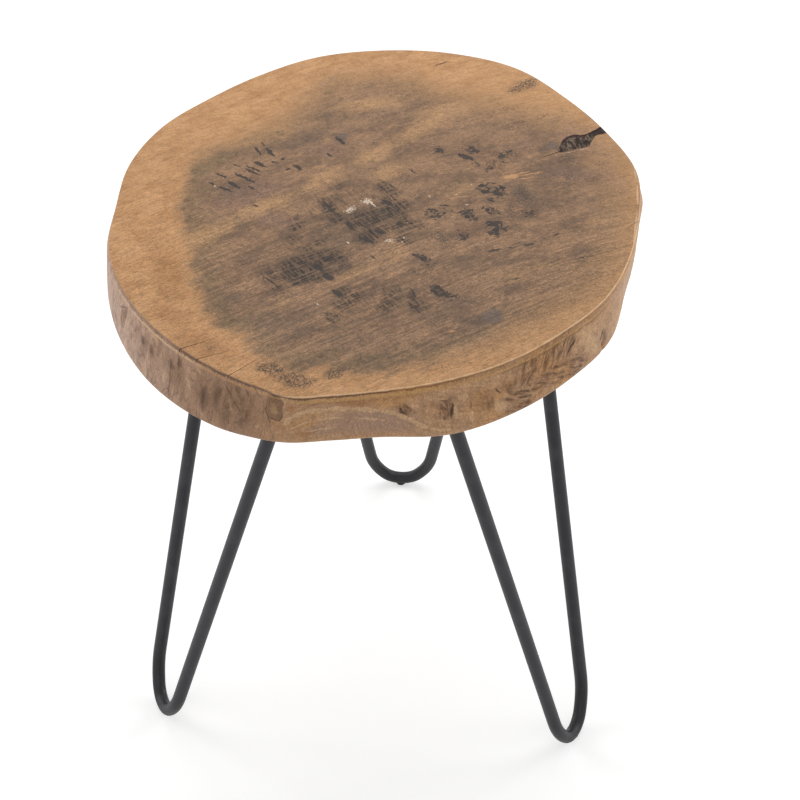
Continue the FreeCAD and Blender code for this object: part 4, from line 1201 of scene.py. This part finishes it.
def makeCracks():
    kit = split["crackShape"]
    mesh = bmesh.new()
    for start, end, width, depth in split["cracks"]:
        mouth, tip = photoPoint(*start)[0], photoPoint(*end)[0]
        along = Vector((tip.x - mouth.x, tip.y - mouth.y, 0)).normalized()
        side = up.cross(along)
        for vert in bmesh.ops.create_cube(mesh, size=1.0)["verts"]:
            far, low = vert.co.x > 0, vert.co.z < 0
            left = 1 if vert.co.y > 0 else -1
            base = tip if far else mouth - along * kit["overrun"] * mm
            thick = width * (kit["tip"] if far else 0.5) * (kit["bottom"] if low else 1.0)
            lift = -depth * (kit["tip"] if far else 1.0) if low else kit["lift"]
            vert.co = Vector((base.x, base.y, slabHigh.z)) + side * left * thick * mm + up * lift * mm
    bmesh.ops.recalc_face_normals(mesh, faces=mesh.faces)
    return finishPiece("crackCutter", mesh)


def cutAway(piece, cutter):
    modifier = piece.modifiers.new("cut", "BOOLEAN")
    modifier.operation = "DIFFERENCE"
    modifier.solver = "EXACT"
    modifier.material_mode = "TRANSFER"
    modifier.object = cutter
    bpy.context.view_layer.update()
    result = bpy.data.meshes.new_from_object(piece.evaluated_get(bpy.context.evaluated_depsgraph_get()))
    piece.modifiers.clear()
    piece.data = result
    bpy.data.objects.remove(cutter)


def dressSlab():
    materials = [topMaterial(), edgeMaterial(), undersideMaterial(), splitMaterial()]
    piece = makeSlab()
    for material in materials:
        piece.data.materials.append(material)
    for cutter in (makeCutter(), makeCracks()):
        cutter.data.materials.append(materials[3])
        cutAway(piece, cutter)
    piece.data.set_sharp_from_angle(angle=math.radians(38))
    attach(piece, "root")
    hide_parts("slab_top")
    print("slab:", len(piece.data.polygons), "faces, materials", [m.name for m in piece.data.materials])
    return piece


def coatMaterial():
    material, place = newMaterial("blackPowderCoat")
    peel = add("TexNoise", {"Vector": place, "Scale": 1500.0, "Detail": 2.0}).outputs["Fac"]
    wear = add("TexNoise", {"Vector": place, "Scale": 60.0, "Detail": 4.0}).outputs["Fac"]
    colour = mixTone(ramp(wear, 0.4, 0.7), tone(49, 49, 53), tone(62, 62, 66))
    # painted shade: the coat darkens towards the floor, over the bends of the feet
    height = add("SeparateXYZ", {0: place}).outputs[2]
    colour = shaded(colour, ramp(height, 0.01, 0.09, 0.55, 1.0))
    wire(colour, ramp(wear, 0.3, 0.7, 0.42, 0.54), peel, 0.15, 0.1, gloss=0.28)
    return material


def screwMaterial():
    material, place = newMaterial("zincPlate")
    cloud = add("TexNoise", {"Vector": place, "Scale": 500.0, "Detail": 3.0}).outputs["Fac"]
    colour = mixTone(cloud, tone(196, 198, 202), tone(168, 170, 176))
    shader = wire(colour, ramp(cloud, 0.3, 0.7, 0.25, 0.4))
    put(1.0, shader.inputs["Metallic"])
    return material


def glideMaterial():
    material, place = newMaterial("blackGlidePlastic")
    grit = add("TexNoise", {"Vector": place, "Scale": 900.0, "Detail": 3.0}).outputs["Fac"]
    colour = mixTone(grit, tone(34, 34, 36), tone(46, 46, 48))
    wire(colour, ramp(grit, 0.3, 0.7, 0.5, 0.65), grit, 0.2, 0.1)
    return material


def dressLegs():
    coat, zinc, plastic = coatMaterial(), screwMaterial(), glideMaterial()
    finishes = {
        "leg_rod": coat, "mounting_plate": coat, "weld_beads": coat, "plate_screws": zinc,
        "foot_glide": plastic,
    }
    for name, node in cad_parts.items():
        for ending, material in finishes.items():
            if name.endswith(ending):
                node.data.materials.clear()
                node.data.materials.append(material)
    print("legs dressed")


# Floor and light
studio = {
    "floorSize": 8.0,
    "worldLevel": 0.36,
    "floorTone": (0.8, 0.8, 0.8, 1.0),
    "floorGlow": 0.54,
    "floorShare": 0.62,
    "lamps": {
        "overhead": {"place": (0.0, 0.8, 2.1), "aim": (0, 0, 0.4), "size": (1.6, 1.6), "power": 18},
        "leftBox": {"place": (-1.7, 0.5, 1.0), "aim": (0, 0, 0.3), "size": (0.9, 1.2), "power": 13},
        "rightBox": {"place": (1.7, 0.6, 1.0), "aim": (0, 0, 0.3), "size": (0.9, 1.2), "power": 13},
        "frontFill": {"place": (-0.5, -2.2, 1.1), "aim": (0, 0, 0.3), "size": (1.4, 1.0), "power": 9},
    },
}


def bareTree(owner):
    owner.use_nodes = True
    bench["tree"] = owner.node_tree
    bench["tree"].nodes.clear()


def seenApart(kind, lighting, seen):
    # the camera and the mirrors see one shader, and the scene is lit by the other
    path = add("LightPath")
    looks = highest([path.outputs["Is %s Ray" % ray] for ray in ("Camera", "Glossy", "Transmission")])
    choice = add("MixShader", {0: looks, 1: lighting.outputs[0], 2: seen.outputs[0]})
    put(choice.outputs[0], add(kind).inputs["Surface"])


def makeStudio():
    kit = studio
    mesh = bmesh.new()
    bmesh.ops.create_grid(mesh, x_segments=1, y_segments=1, size=kit["floorSize"])
    floor = finishPiece("paleFloor", mesh)
    material = bpy.data.materials.new("paleFloor")
    bareTree(material)
    plain = add("BsdfDiffuse", {"Color": kit["floorTone"]})
    seen = add("BsdfDiffuse", {"Color": (kit["floorShare"],) * 3 + (1.0,)})
    glow = add("Emission", {"Strength": kit["floorGlow"]})
    seenApart("OutputMaterial", plain, add("AddShader", {0: seen.outputs[0], 1: glow.outputs[0]}))
    floor.data.materials.append(material)

    world = bpy.data.worlds.new("softRoom")
    bpy.context.scene.world = world
    bareTree(world)
    room = add("Background", {"Color": (1, 1, 1, 1), "Strength": kit["worldLevel"]})
    seenApart("OutputWorld", room, add("Background", {"Color": (1, 1, 1, 1), "Strength": 1.0}))

    for name, lamp in kit["lamps"].items():
        data = bpy.data.lights.new(name, "AREA")
        data.shape = "RECTANGLE"
        data.size, data.size_y = lamp["size"]
        data.energy = lamp["power"]
        light = bpy.data.objects.new(name, data)
        bpy.context.scene.collection.objects.link(light)
        aim = Vector(lamp["aim"]) - Vector(lamp["place"])
        turn = aim.to_track_quat("-Z", "Y").to_matrix().to_4x4()
        light.matrix_world = Matrix.Translation(lamp["place"]) @ turn
    bpy.context.scene.view_settings.view_transform = "Standard"
    print("studio ready")


makeStudio()
dressSlab()
dressLegs()
